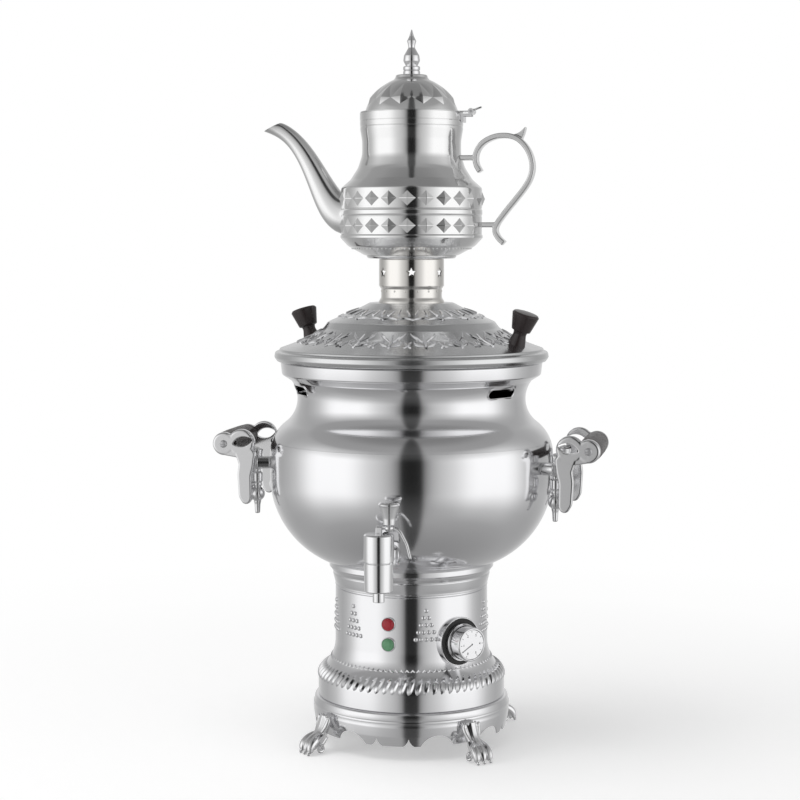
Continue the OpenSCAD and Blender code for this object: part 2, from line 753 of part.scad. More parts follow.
module tap_body() {
    color("silver") around(0) difference() {
        union() {
            translate([tap_reach, 0, 0]) rotate_extrude() polygon(rounded([
                [0, barrel_foot], [barrel_r - 1.6, barrel_foot], [barrel_r - 0.8, barrel_foot + 1],
                [barrel_r - 0.4, tap_z - 2], [barrel_r - 1, tap_z - 1.2], [barrel_r, tap_z - 0.2],
                [barrel_r, barrel_top - 3, 1.5], [barrel_r - 3, barrel_top, 3],
                [0, barrel_top + 1]]));
            spoke(union_r, shank_end + gasket_t, tap_reach - chamber_r, tap_z);
            spoke(shank_r, shank_end + gasket_t, shank_end + gasket_t + 2, tap_z);
        }
        spoke(inlet_r, shank_end, tap_reach, tap_z);
        translate([tap_reach, 0, barrel_foot - 1])
            cylinder(r = plug_r + run_gap, h = seat_z - barrel_foot + 1);
        translate([tap_reach, 0, seat_z - 1]) cylinder(r = chamber_r, h = chamber_top - seat_z + 1);
        translate([tap_reach, 0, chamber_top - 1]) cylinder(r = stem_r + run_gap, h = 20);
        translate([tap_reach - 15, -blade_t / 2 - blade_gap, slot_z])
            cube([25, blade_t + 2 * blade_gap, 20]);
        translate([tap_reach, 20, pin_z]) rotate([90, 0, 0]) cylinder(r = pin_r + run_gap, h = 40);
    }
}

module tap_nozzle() {
    color("silver") around(0) translate([tap_reach, 0, 0]) difference() {
        rotate_extrude() polygon(rounded([[0, barrel_foot - nozzle_len],
            [nozzle_d / 2, barrel_foot - nozzle_len, 0.6], [nozzle_d / 2, barrel_foot],
            [plug_r, barrel_foot], [plug_r, seat_z], [0, seat_z]]));
        translate([0, 0, barrel_foot - nozzle_len - 1])
            cylinder(d = nozzle_bore, h = nozzle_len + seat_z - barrel_foot + 2);
    }
}

module tap_seal() {
    color("black") around(0) translate([tap_reach, 0, seat_z + 0.1])
        cylinder(r = chamber_r - 1.2, h = seal_t);
}

module tap_stem() {
    foot_z = seat_z + 0.1 + seal_t;
    cam_z = pin_z - cam_off * cos(cam_a) - cam_r;
    color("gray") around(0) translate([tap_reach, 0, foot_z]) {
        cylinder(r = chamber_r - 1.4, h = 2);
        cylinder(r = stem_r, h = cam_z - cam_gap - foot_z);
    }
}

module tap_pin() {
    color("gray") around(0) translate([tap_reach, barrel_r - 0.6, pin_z]) rotate([90, 0, 0])
        cylinder(r = pin_r, h = 2 * barrel_r - 1.2);
}

module tap_lever() {
    arm_t = 2.4;
    arm_w = 4;
    color("silver") around(0) difference() {
        union() {
            translate([tap_reach, blade_t / 2, 0]) rotate([90, 0, 0]) linear_extrude(blade_t) {
                translate([-cam_off * sin(cam_a), pin_z - cam_off * cos(cam_a)]) circle(r = cam_r);
                translate([-2 - arm_w / 2, pin_z]) square([arm_w + 2, bridge_z - pin_z + arm_t / 2]);
            }
            translate([lever_x - arm_w / 2, 0, 0]) rotate([90, 0, 90]) linear_extrude(arm_w)
                sheet(rounded([[lever_side + 18, tap_z + 2], [lever_side + 15, tap_z + 14, 20],
                    [lever_side + 8, bridge_z - 1, 9], [lever_side, bridge_z, 4],
                    [-blade_t / 2, bridge_z]]), -arm_t);
            translate([lever_x, lever_side, bridge_z]) {
                cylinder(r = 4.2, h = arm_t + 1);
                cylinder(r = 2, h = arm_t + 12);
            }
        }
        translate([tap_reach, 20, pin_z]) rotate([90, 0, 0]) cylinder(r = pin_r + run_gap, h = 40);
    }
}

module tap_knob() {
    base_z = bridge_z + 3.4;
    foot_r = lever_knob_d / 2 - 3.8;
    color("silver") around(0) translate([lever_x, lever_side, base_z]) difference() {
        rotate_extrude() polygon(rounded([[0, 0], [foot_r, 0, 0.8], [foot_r + 0.2, 8, 10],
            [lever_knob_d / 2 - 0.6, lever_knob_h - 4, 4], [lever_knob_d / 2, lever_knob_h - 2, 1],
            [lever_knob_d / 2 - 2.5, lever_knob_h, 3], [0, lever_knob_h + 0.6]]));
        translate([0, 0, -1]) cylinder(r = 2 + run_gap, h = 13);
    }
}

// ---------------------------------------------------------------- side handles
rod_r = rod_d / 2;
cheek_y = grip_len / 2 + seat_gap;            // inner face of a cheek
mount_z = grip_z - 17.5;
mount_y = cheek_y - 1.8;
mount_a = asin(mount_y / belly_r);
handle_screw_d = 5;
spindle_x = grip_reach - 30.9;

module handle_screw_places() {
    for (side = [0, 180], s = [-1, 1]) rotate([0, 0, side + s * mount_a]) children();
}

// A cheek seen from the front, about the grip's axis
module cheek_outline() {
    translate([grip_reach, grip_z]) difference() {
        union() {
            circle(r = grip_d / 2 - 0.5);
            translate([-17, 1.2]) circle(r = 13);
            polygon([[0, -10.8], [0, 9.6], [-10, 9.6], [-17, 11], [-26, -9], [-14, -13]]);
            polygon(rounded([[-28, -4], [-11, -8], [-14.6, -19, 3], [-13.4, -29, 7],
                [-14.6, -50, 10], [-21.2, -61.5, 5], [-27.2, -53, 8], [-27, -30, 14],
                [-29.4, -20, 6], [-31, -8, 5], [-28, -4]]));
        }
        intersection() {                      // the leaf-shaped opening
            translate([-20.5, -5]) circle(r = 12.5);
            translate([-17, 11]) circle(r = 13.5);
        }
    }
}

module cheek() {
    color("silver") difference() {
        union() {
            translate([0, -cheek_y, 0]) rotate([90, 0, 0]) linear_extrude(cheek_t) cheek_outline();
            translate([spindle_x, -mount_y, grip_z]) rotate_extrude() polygon(rounded([
                [0, -66.5], [2.2, -66.5, 1], [3, -59, 5], [2.6, -57.4], [5, -56, 1],
                [6.8, -51, 6], [5, -46, 1], [2.9, -44.8], [3.4, -42, 1], [5.2, -34, 8],
                [4.9, -20, 12], [3.6, -16.5], [4.8, -14, 1], [4.4, -6, 4], [2.4, -1.5, 2], [0, -1]]));
            rotate([0, 0, -mount_a]) difference() {
                spoke(6, belly_r - 4, spindle_x + 5, mount_z);
                rotate_extrude() inside(moved_left(tank_path, -skin_gap));
            }
        }
        translate([grip_reach, 0, grip_z]) rotate([90, 0, 0]) cylinder(r = rod_r + run_gap, h = 100);
        rotate([0, 0, -mount_a]) spoke(handle_screw_d / 2 + run_gap, belly_r - 5, belly_r + 11, mount_z);
    }
}

module grip() {
    color([0.12, 0.12, 0.13]) translate([grip_reach, 0, grip_z]) rotate([90, 0, 0]) rotate_extrude()
        polygon(rounded([[rod_r + run_gap, -grip_len / 2], [grip_d / 2 - 0.6, -grip_len / 2, 1.2],
            [grip_d / 2, -grip_len / 2 + 9, 20], [grip_d / 2, grip_len / 2 - 9, 20],
            [grip_d / 2 - 0.6, grip_len / 2, 1.2], [rod_r + run_gap, grip_len / 2]]));
}

module rod() {
    outer = cheek_y + cheek_t;
    color("gray") translate([grip_reach, 0, grip_z]) rotate([90, 0, 0]) {
        translate([0, 0, -outer - 4]) cylinder(r = rod_r, h = 2 * outer + 5);
        difference() {
            translate([0, 0, outer]) rotate_extrude()
                polygon(rounded([[0, 0], [rod_d * 0.8, 0], [rod_d * 0.8, 1.6, 0.8], [rod_d * 0.4, 3, 2],
                    [0, 3.2]]));
            translate([-rod_d, -0.5, outer + 2.2]) cube([2 * rod_d, 1, 2]);
        }
        translate([0, 0, -outer - 3.4]) hex_nut(rod_d * 1.6, 3.4, rod_r + run_gap);
    }
}

module handle_screws() {
    seat = belly_r - tank_wall - 0.15;
    color("gray") for (s = [-1, 1]) rotate([0, 0, s * mount_a]) {
        spoke(4.4, seat - 2.6, seat, mount_z);
        spoke(handle_screw_d / 2, seat - 1, belly_r + 10, mount_z);
    }
}

// ---------------------------------------------------------------- lid and crown
lid_r = lid_d / 2;
crown_r = crown_d / 2;
crown_waist_r = crown_r - 2;
chimney_r = crown_waist_r - crown_wall - skin_gap;
lid_seat_z = mouth_z + seat_gap;
ledge_in = mouth_r - mouth_ledge;
rim_top = [lid_r - 1, mouth_z + 11.8];
cone_top = [lid_r - 33, mouth_z + 22.5];
cone_a = atan2(cone_top[1] - rim_top[1], rim_top[0] - cone_top[0]);

lid_path = rounded([[ledge_in + 0.5, lid_seat_z], [lid_r, lid_seat_z + 0.6, 4.2],
    [rim_top[0], rim_top[1], 4.2], [cone_top[0], cone_top[1], 40],
    [lid_r - 47, lid_top_z - 23.5, 5], [lid_r - 51, lid_top_z - 18, 4],
    [lid_r - 71, lid_top_z - 9, 2.5], [lid_r - 79, lid_top_z - 6, 2.5],
    [crown_r + 9, lid_top_z, 4], [chimney_r + skin_gap, lid_top_z]]);

module lid_knob_place(side) {
    along = (rim_top[0] - lid_knob_reach) / cos(cone_a);
    around(90 * side - lid_turn) translate([lid_knob_reach, 0, rim_top[1] + along * sin(cone_a)])
        rotate([0, cone_a, 0]) children();
}

lid_screw_d = 4;

module lid() {
    ring_r = ledge_in - slip_gap;
    color("gainsboro") difference() {
        union() {
            rotate_extrude() sheet(lid_path, lid_wall);
            rotate_extrude() intersection() {
                translate([ring_r - lid_wall, mouth_z - lid_ring_h]) square([lid_wall, 40]);
                inside(concat([[ledge_in + 0.5, mouth_z - lid_ring_h - 1]],
                    moved_left(lid_path, lid_wall / 2)));
            }
        }
        for (side = [-1, 1]) lid_knob_place(side)
            translate([0, 0, -6]) cylinder(d = lid_screw_d + 0.3, h = 10);
    }
}

module lid_knob(side) {
    foot_r = lid_knob_d / 2 - 5.9;
    color([0.1, 0.1, 0.1]) difference() {
        lid_knob_place(side) difference() {
            rotate_extrude() polygon(rounded([[0, -3], [foot_r, -3], [foot_r, 5, 3],
                [lid_knob_d / 2 - 0.8, lid_knob_h - 4, 6], [lid_knob_d / 2, lid_knob_h - 1.4, 1],
                [lid_knob_d / 2 - 2, lid_knob_h, 1.5], [0, lid_knob_h + 0.8]]));
            translate([0, 0, -4]) cylinder(d = lid_screw_d + 2 * run_gap, h = 17);
        }
        rotate_extrude() inside(moved_left(lid_path, -skin_gap));
    }
}

module lid_knob_left() { lid_knob(-1); }
module lid_knob_right() { lid_knob(1); }

module lid_knob_screws() {
    head_h = 2.4;
    color("gray") for (side = [-1, 1]) lid_knob_place(side) {
        translate([0, 0, -lid_wall - skin_gap - head_h]) cylinder(d = 7.6, h = head_h);
        translate([0, 0, -lid_wall - 1]) cylinder(d = lid_screw_d, h = lid_wall + 12);
    }
}

star_azimuth = 10;
star_z = crown_top_z - 13;
crown_ledge = 3;

// A five-pointed star of radius r
module star(r) {
    polygon([for (i = [0:9]) r * (i % 2 == 0 ? 1 : 0.45) * [cos(90 + i * 36), sin(90 + i * 36)]]);
}

module crown() {
    color("silver") difference() {
        rotate_extrude() sheet(rounded([[crown_r + 0.4, lid_top_z + skin_gap],
            [crown_r + 0.4, lid_top_z + 1], [crown_waist_r, lid_top_z + 5, 4],
            [crown_waist_r, crown_top_z - 28.5, 1.5], [crown_r, crown_top_z - 25.5, 1.5],
            [crown_r, crown_top_z, 1.2], [crown_r - crown_ledge, crown_top_z]]), crown_wall);
        for (i = [0:star_count - 1]) around(star_azimuth + i * 360 / star_count)
            translate([crown_r - 5, 0, star_z]) rotate([90, 0, 90]) linear_extrude(10)
                star(star_d / 2);
    }
}

module crown_ring() {
    color("gray") rotate_extrude() {
        translate([chimney_r - 1, lid_top_z - lid_wall - 1.2]) square([1, 12]);
        translate([chimney_r - 1, lid_top_z - lid_wall - 1.2]) square([7, 1.2]);
    }
}

// ---------------------------------------------------------------- teapot
pot_r = pot_d / 2;
pot_neck_r = pot_neck_d / 2;
pot_rim_r = pot_rim_d / 2;
pot_z = crown_top_z + seat_gap;               // the teapot's seat on the crown
pot_top = pot_z + pot_h;
plinth_t = 2.7;
band_low = 22.6;                              // the gem band, above the seat
band_high = 66;
gem_rows = [30.6, 55.7];
gem_h = 13.2;
gem_w = 0.86 * 2 * PI * pot_r / gem_count;

pot_path = [for (p = rounded([[0, plinth_t], [44, plinth_t, 6], [pot_r - 6.5, 11.5, 10],
    [pot_r - 0.8, 17.6, 1], [pot_r + 0.8, 19.4, 0.8], [pot_r + 0.8, 21.4, 0.8],
    [pot_r, band_low], [pot_r, band_high, 3], [pot_r - 9, band_high + 8, 8],
    [pot_neck_r + 3.9, band_high + 19, 20], [pot_neck_r, band_high + 31, 25],
    [pot_neck_r, pot_h - 26, 25], [pot_rim_r, pot_h - 15, 4], [pot_rim_r, pot_h]]))
    p + [0, pot_z]];

// A four-sided pyramid standing on the band
module gem() {
    base_x = pot_r * cos(asin(gem_w / 2 / pot_r)) - pot_wall / 8;
    w = gem_w / 2;
    h = gem_h / 2;
    polyhedron(points = [[base_x, -w, -h], [base_x, w, -h], [base_x, w, h], [base_x, -w, h],
        [pot_r + gem_height, 0, 0]],
        faces = [[0, 1, 2, 3], [1, 0, 4], [2, 1, 4], [3, 2, 4], [0, 3, 4]]);
}

module teapot_body() {
    spout_clear = asin((spout_base_w + gem_w / 2 - 2) / pot_r);
    stub_clear = asin((strip_w + gem_w) / 2 / pot_r);
    color("gainsboro") difference() {
        union() {
            rotate_extrude() sheet(pot_path, pot_wall);
            for (z = gem_rows, i = [0:gem_count - 1]) {
                a = (i + 0.5) * 360 / gem_count;
                from_spout = abs(a - 180);
                if (from_spout > spout_clear && (z > strip_low + gem_h || from_spout < 180 - stub_clear))
                    rotate([0, 0, a]) translate([0, 0, pot_z + z]) gem();
            }
        }
        for (row = [-2:2], i = [0:3 - abs(row) % 2])
            translate([-pot_r - 3, (i - 1.5 + abs(row) % 2 / 2) * 5, spout_start[1] + row * 5])
                rotate([0, 90, 0]) cylinder(d = 3.2, h = 8);
    }
}

module teapot_base() {
    ring_r = crown_r - crown_ledge - slip_gap;
    color("silver") rotate_extrude() {
        polygon(rounded([[0, pot_z], [41, pot_z, 1.2], [43, pot_z + plinth_t - 0.4, 0.6],
            [42, pot_z + plinth_t], [0, pot_z + plinth_t]]));
        translate([ring_r - 1, pot_z - 5]) square([1, 6]);
    }
}

// The spout's middle line is a Bezier curve: distance from the axis, height
spout_start = [pot_r - 2.5, pot_z + 41];
spout_line = [spout_start, [pot_r + 21.5, pot_z + 47], [spout_reach - 40, pot_z + 113],
    [spout_reach, pot_z + 124.5]];
spout_base_w = 13;
spout_rings = 18;
spout_sides = 20;
spout_lip_a = 64;                             // slope of the pouring lip's plane

function bezier(p, t) = pow(1 - t, 3) * p[0] + 3 * pow(1 - t, 2) * t * p[1]
    + 3 * (1 - t) * t * t * p[2] + pow(t, 3) * p[3];
function bezier_dir(p, t) = pow(1 - t, 2) * (p[1] - p[0]) + 2 * (1 - t) * t * (p[2] - p[1])
    + t * t * (p[3] - p[2]);

// One ring of the spout's skin, inset by w; the first ring lies on the teapot's band
function spout_ring(t, w) =
    let (c = bezier(spout_line, t), d = bezier_dir(spout_line, t),
         along = atan2(d[1], d[0]),
         lip = t > 0.8 ? (spout_lip_a - along) * pow((t - 0.8) / 0.2, 2) : 0,
         a = t == 0 ? 0 : along + lip,
         tall = (7.2 + 11.3 * pow(1 - t, 1.7) - w) / cos(lip * 0.8),
         wide = 6.6 + (spout_base_w - 6.6) * pow(1 - t, 1.5) - w)
    [for (i = [0:spout_sides - 1])
        let (b = 360 * i / spout_sides, u = tall * cos(b), y = wide * sin(b),
             x = t == 0 ? sqrt(pow(pot_r + skin_gap, 2) - y * y) : c[0] - u * sin(a))
        [-x, y, c[1] + u * cos(a)]];

module spout() {
    n = spout_sides;
    m = spout_rings;
    inner = n * (m + 1);
    points = [for (w = [0, spout_wall], j = [0:m]) each spout_ring(j / m, w)];
    skin = [for (j = [0:m - 1], i = [0:n - 1]) let (k = (i + 1) % n)
        each [[j * n + i, j * n + k, (j + 1) * n + k], [j * n + i, (j + 1) * n + k, (j + 1) * n + i]]];
    ends = [for (i = [0:n - 1]) let (k = (i + 1) % n, e = m * n)
        each [[i, inner + k, k], [i, inner + i, inner + k],
              [e + i, e + k, inner + e + k], [e + i, inner + e + k, inner + e + i]]];
    lining = [for (f = skin) [f[0] + inner, f[2] + inner, f[1] + inner]];
    color("gainsboro") polyhedron(points = points, faces = concat(skin, lining, ends));
}

// The strip's middle line: distance from the axis, height above the seat
strip_high = 94.5;
strip_low = 31;
strip_line = rounded([[pot_neck_r - 2, strip_high], [61, strip_high, 8], [76, 114, 14],
    [104, 115.2, 16], [120.5, 96, 14], [117, 73, 30], [84.5, strip_low, 6], [83, 22.5, 6],
    [90, 13.5]]);

module strip(path, t) {
    polygon(concat(moved_left(path, t / 2), reversed(moved_left(path, -t / 2))));
}

module teapot_handle() {
    color("gainsboro") difference() {
        translate([0, 0, pot_z]) rotate([90, 0, 0]) linear_extrude(strip_w, center = true) {
            strip(strip_line, strip_t);
            strip(rounded([[60, strip_high - 0.5], [64.5, strip_high - 3.5, 4],
                [66.5, strip_high - 13]]), strip_t * 0.6);
            strip([[pot_r - 3, strip_low - 1], [85.4, strip_low - 1]], strip_t);
            polygon(rounded([[98, 115], [106, 117, 8], [113, 121], [111, 114, 4], [104, 112]]));
        }
        rotate_extrude() inside(moved_left(pot_path, -skin_gap));
    }
}

hinge_x = pot_rim_r + 8.8;
hinge_z = pot_top + 1;
knuckle_r = 2.8;
knuckle_gap = 0.3;
leaf_w = 5.4;
leaf_web = leaf_w - 0.8;
pin_d = 2.4;

module knuckle(y0, y1) {
    translate([hinge_x, y1, hinge_z]) rotate([90, 0, 0]) cylinder(r = knuckle_r, h = y1 - y0);
}

module hinge_bore() {
    translate([hinge_x, 20, hinge_z]) rotate([90, 0, 0]) cylinder(d = pin_d + 2 * run_gap, h = 40);
}

module teapot_hinge() {
    inner = leaf_w / 2 + knuckle_gap;
    outer = inner + 4.5;
    color("silver") difference() {
        union() {
            for (s = [-1, 1]) {
                knuckle(s > 0 ? inner : -outer, s > 0 ? outer : -inner);
                translate([pot_rim_r - 4, s > 0 ? inner : -outer, hinge_z - 4.5])
                    cube([hinge_x - pot_rim_r + 4, outer - inner, 2.4]);
            }
            translate([pot_rim_r - 6, -outer, hinge_z - 10]) cube([8, 2 * outer, 7.9]);
        }
        rotate_extrude() inside(moved_left(pot_path, -skin_gap));
        translate([0, 0, pot_top]) cylinder(r = pot_rim_r + 1, h = 20);
        hinge_bore();
    }
}

module hinge_pin() {
    reach = leaf_w / 2 + knuckle_gap + 4.9;
    color("gray") translate([hinge_x, reach, hinge_z]) rotate([90, 0, 0])
        cylinder(d = pin_d, h = 2 * reach);
}

pot_lid_z = pot_top + seat_gap;
dome_z = pot_top - 11.2;
collar_top = pot_top + 35.7;
boss_r = 5;
finial_stud_d = 5;

module teapot_lid() {
    flange_t = 1;
    locate_r = pot_rim_r - pot_wall - slip_gap;
    dome = concat(arc([0, dome_z], dome_r, asin((pot_lid_z + flange_t / 2 - dome_z) / dome_r),
        acos(17 / dome_r)), tail(rounded([[17, dome_z + dome_r * sin(acos(17 / dome_r))],
        [15.4, collar_top - 2.6, pot_wall + 0.4], [14.6, collar_top, pot_wall + 0.4],
        [finial_stud_d / 2, collar_top]])));
    color("gainsboro") difference() {
        union() {
            rotate_extrude() {
                sheet(dome, pot_wall);
                translate([locate_r - 5, pot_lid_z]) square([pot_rim_r - 0.3 - locate_r + 5, flange_t]);
                translate([locate_r - 1, pot_lid_z - 4]) square([1, 4 + flange_t / 2]);
                translate([finial_stud_d / 2, collar_top - 9]) square([boss_r - finial_stud_d / 2, 9]);
            }
            knuckle(-leaf_w / 2, leaf_w / 2);
            translate([pot_rim_r - 3, -leaf_web / 2, pot_lid_z])
                cube([hinge_x - pot_rim_r + 3, leaf_web, 1.6]);
            translate([hinge_x, -leaf_web / 2, hinge_z + 0.4]) rotate([0, -12, 0])
                cube([9.5, leaf_web, 1.6]);
        }
        hinge_bore();
        translate([0, 0, collar_top - 20]) cylinder(d = finial_stud_d + 2 * run_gap, h = 30);
    }
}

module finial() {
    color("silver") {
        translate([0, 0, collar_top]) rotate_extrude() polygon(rounded([[0, 0], [8, 0, 0.8],
            [8, 3.4, 0.8], [7.2, 4], [8, 4.6, 0.8], [8, 7.8, 1.2], [5.6, 8.6], [7.9, 13, 3],
            [7.3, 18, 3], [3, 25.5, 2.5], [3.5, 28.5], [4.4, 31.5, 1.5], [2.2, 36, 2],
            [0.5, finial_h], [0, finial_h + 0.2]]));
        translate([0, 0, collar_top - 8]) cylinder(d = finial_stud_d, h = 9);
    }
}

// ---------------------------------------------------------------- assembly
tank_bowl();
tank_neck();
tank_collar();
base_bell();
base_skirt();
foot(foot_azimuths[0]);  // foot_front_left
foot(foot_azimuths[1]);  // foot_front_right
foot(foot_azimuths[2]);  // foot_back_right
foot(foot_azimuths[3]);  // foot_back_left
foot_screws();
bottom_plate();
bottom_screws();
tie_studs();
heating_element();
heater_gaskets();
heater_nuts();
thermostat_body();
thermostat_bulb();
thermostat_shaft();
dial_ring();
thermostat_knob();
lamp_red();
lamp_green();
terminal_block();
thermal_cutout();
cord_gland();
tap_shank();
tap_gasket();
tap_nut();
tap_body();
tap_nozzle();
tap_stem();
tap_seal();
tap_pin();
tap_lever();
tap_knob();
cheek();  // right_front_cheek
mirror([0, 1, 0]) cheek();  // right_back_cheek
grip();  // right_grip
rod();  // right_rod
handle_screws();  // right_handle_screws
mirror([1, 0, 0]) cheek();  // left_front_cheek
mirror([1, 0, 0]) mirror([0, 1, 0]) cheek();  // left_back_cheek
mirror([1, 0, 0]) grip();  // left_grip
mirror([1, 0, 0]) rod();  // left_rod
mirror([1, 0, 0]) handle_screws();  // left_handle_screws
lid();
lid_knob_left();
lid_knob_right();
lid_knob_screws();
crown();
crown_ring();
teapot_body();
teapot_base();
spout();
teapot_handle();
teapot_hinge();
hinge_pin();
teapot_lid();
finial();
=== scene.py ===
import json
import math

import bpy
from mathutils import Matrix, Vector

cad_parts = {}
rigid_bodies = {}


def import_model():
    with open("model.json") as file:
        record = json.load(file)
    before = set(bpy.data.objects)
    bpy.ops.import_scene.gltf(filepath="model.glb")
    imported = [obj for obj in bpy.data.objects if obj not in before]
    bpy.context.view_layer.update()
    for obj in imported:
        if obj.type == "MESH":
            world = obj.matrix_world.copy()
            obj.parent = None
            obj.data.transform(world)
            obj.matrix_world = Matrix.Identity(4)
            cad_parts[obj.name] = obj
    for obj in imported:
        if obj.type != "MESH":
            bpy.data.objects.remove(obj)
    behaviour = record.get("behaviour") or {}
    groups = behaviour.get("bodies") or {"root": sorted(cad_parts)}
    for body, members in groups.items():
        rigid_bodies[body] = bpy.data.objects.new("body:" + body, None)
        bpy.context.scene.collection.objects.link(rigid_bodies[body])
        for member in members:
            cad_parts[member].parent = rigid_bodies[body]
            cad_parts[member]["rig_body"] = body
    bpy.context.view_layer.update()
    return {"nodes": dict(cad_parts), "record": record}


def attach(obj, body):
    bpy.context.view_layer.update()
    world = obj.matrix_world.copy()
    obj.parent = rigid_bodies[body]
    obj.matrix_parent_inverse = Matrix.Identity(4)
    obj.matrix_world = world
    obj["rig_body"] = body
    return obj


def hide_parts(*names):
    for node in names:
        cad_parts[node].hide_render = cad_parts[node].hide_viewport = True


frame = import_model()

# ---------------------------------------------------------------- studio
# A pale floor in a wide soft tent. The tent is open behind the camera, so polished metal shows a dark
# upright stripe there, bright sheets at both sides and a duller back.
scene = bpy.context.scene
scene.view_settings.view_transform = "Standard"
look = math.radians(11)                 # the camera's direction, round from the front
stand_off, eye_height = 1.805, 0.4813   # its place, in metres
camera = bpy.data.objects.new("camera", bpy.data.cameras.new("camera"))
scene.collection.objects.link(camera)
scene.camera = camera
camera.data.lens = 85.5
camera.data.sensor_width = 36
camera.location = (stand_off * math.sin(look), -stand_off * math.cos(look), eye_height)
camera.rotation_euler = (math.radians(85.1), 0, look + math.radians(0.347))


class Wire:
    """A socket of a shader tree. Arithmetic on it adds the Math nodes."""

    def __init__(self, tree, socket):
        self.tree, self.socket = tree, socket

    def math(self, operation, *values):
        node = self.tree.nodes.new("ShaderNodeMath")
        node.operation = operation
        for place, value in zip(node.inputs, (self,) + values):
            feed(self.tree, place, value)
        return Wire(self.tree, node.outputs[0])

    def __add__(self, other):
        return self.math("ADD", other)

    def __sub__(self, other):
        return self.math("SUBTRACT", other)

    def __rsub__(self, other):
        return (self * -1) + other

    def __mul__(self, other):
        return self.math("MULTIPLY", other)

    def __truediv__(self, other):
        return self.math("DIVIDE", other)

    __radd__ = __add__
    __rmul__ = __mul__

    def steps(self, *stops):
        """A smooth table: pairs of (value, result) from 0 to 1."""
        node = self.tree.nodes.new("ShaderNodeValToRGB")
        ramp = node.color_ramp
        ramp.elements[0].position, ramp.elements[-1].position = stops[0][0], stops[-1][0]
        for stop in stops[1:-1]:
            ramp.elements.new(stop[0])
        for element, (value, result) in zip(list(ramp.elements), stops):
            element.color = (result, result, result, 1) if isinstance(result, (int, float)) \
                else tuple(result) + (1,)
        feed(self.tree, node.inputs[0], self)
        return Wire(self.tree, node.outputs[0])


def feed(tree, place, value):
    if isinstance(value, Wire):
        tree.links.new(value.socket, place)
    else:
        place.default_value = value


class Shader:
    """A node tree with one way to add any node: its kind, its settings, then its sockets."""

    def __init__(self, owner):
        owner.use_nodes = True
        self.tree = owner.node_tree
        self.tree.nodes.clear()

    def add(self, kind, settings=None, result=0, **sockets):
        node = self.tree.nodes.new("ShaderNode" + kind)
        for name, value in (settings or {}).items():
            setattr(node, name, value)
        for name, value in sockets.items():
            place = node.inputs[int(name[1:])] if name[0] == "i" and name[1:].isdigit() \
                else node.inputs[name.replace("_", " ")]
            feed(self.tree, place, value)
        return Wire(self.tree, node.outputs[result]) if node.outputs else node

    def parts_of(self, vector):
        apart = self.add("SeparateXYZ", Vector=vector).socket.node
        return [Wire(self.tree, apart.outputs[i]) for i in range(3)]


# The tent's light by direction: the angle round from the camera's side, then the height
world = bpy.data.worlds.new("studio")
scene.world = world
tent = Shader(world)
dx, dy, dz = tent.parts_of(tent.add("TexCoord", result="Generated"))
level_run = (dx * dx + dy * dy + 1e-6).math("SQRT")
facing = (dx * math.sin(look) - dy * math.cos(look)) / level_run
round_turn = facing.math("MINIMUM", 0.99999).math("MAXIMUM", -0.99999).math("ARCCOSINE") / math.pi
wall = round_turn.steps((0, .012), (.044, .012), (.062, .21), (.094, .39), (.128, .50), (.194, .66),
    (.261, .90), (.30, .97), (.45, .97), (.494, .88), (.539, .70), (.589, .52), (.644, .42),
    (.711, .36), (.80, .41), (.90, .58), (1, .64)) * 1.16
stripe = round_turn.steps((0, 1), (.044, 1), (.066, 0), (1, 0))
rise = dz * 0.5 + 0.5
overhead = rise.steps((0, .27), (.16, .38), (.265, .28), (.45, 0), (.62, 0), (.80, .36), (.90, .33),
    (.96, .24), (1, .22))
share = rise.steps((0, 0), (.16, 0), (.265, .27), (.388, .86), (.45, 1), (.62, 1), (.82, 0), (1, 0))
level = wall * share + overhead * (1 - stripe * 0.8)
is_camera = tent.add("LightPath", result="Is Camera Ray")
white = tent.add("Background", Color=(1, 1, 1, 1), Strength=1.0)
sheets = tent.add("Background", Color=level, Strength=1.0)
tent.add("OutputWorld", Surface=tent.add("MixShader", Fac=is_camera, i1=sheets, i2=white))


def clear_selection():
    bpy.ops.object.select_all(action="DESELECT")


def pick(piece):
    clear_selection()
    piece.select_set(True)
    bpy.context.view_layer.objects.active = piece


def finish_mesh(piece, name, angle=32):
    """Names a finished mesh, puts its place into it and smooths it."""
    pick(piece)
    bpy.ops.object.transform_apply(location=True, rotation=True, scale=True)
    bpy.ops.object.shade_smooth_by_angle(angle=math.radians(angle))
    piece.name = piece.data.name = name
    return piece


# The floor fades into the white backdrop, so that only its shadow shows
clear_selection()
bpy.ops.mesh.primitive_circle_add(vertices=96, radius=1.2, fill_type="NGON")
floor = finish_mesh(bpy.context.object, "floor")
paint = Shader(bpy.data.materials.new("floor"))
floor.data.materials.append(bpy.data.materials["floor"])
spot = paint.add("TexCoord", result="Object")
across, back, up = paint.parts_of(spot)
grain = paint.add("TexNoise", Vector=spot, Scale=60.0, Detail=4.0)
away = (across * across + back * back).math("SQRT")
matt = paint.add("BsdfDiffuse", Color=grain.steps((0, .86), (1, .9)))
glow = paint.add("Emission", Color=(1, 1, 1, 1), Strength=0.36)
plain = paint.add("Emission", Color=(1, 1, 1, 1), Strength=1.0)
near = paint.add("AddShader", i0=matt, i1=glow)
fade = away.steps((0, 0), (.30, 0), (.75, .85), (1, 1))
paint.add("OutputMaterial", Surface=paint.add("MixShader", Fac=fade, i1=near, i2=plain))
floor.visible_glossy = False


def soft_lamp(name, place, size, power):
    lamp = bpy.data.lights.new(name, "AREA")
    lamp.shape = "DISK"
    lamp.size = size
    lamp.energy = power
    holder = bpy.data.objects.new(name, lamp)
    scene.collection.objects.link(holder)
    holder.location = place
    holder.rotation_euler = (Vector((0, 0, 0.3)) - Vector(place)).to_track_quat("-Z", "Y").to_euler()
    holder.visible_glossy = False


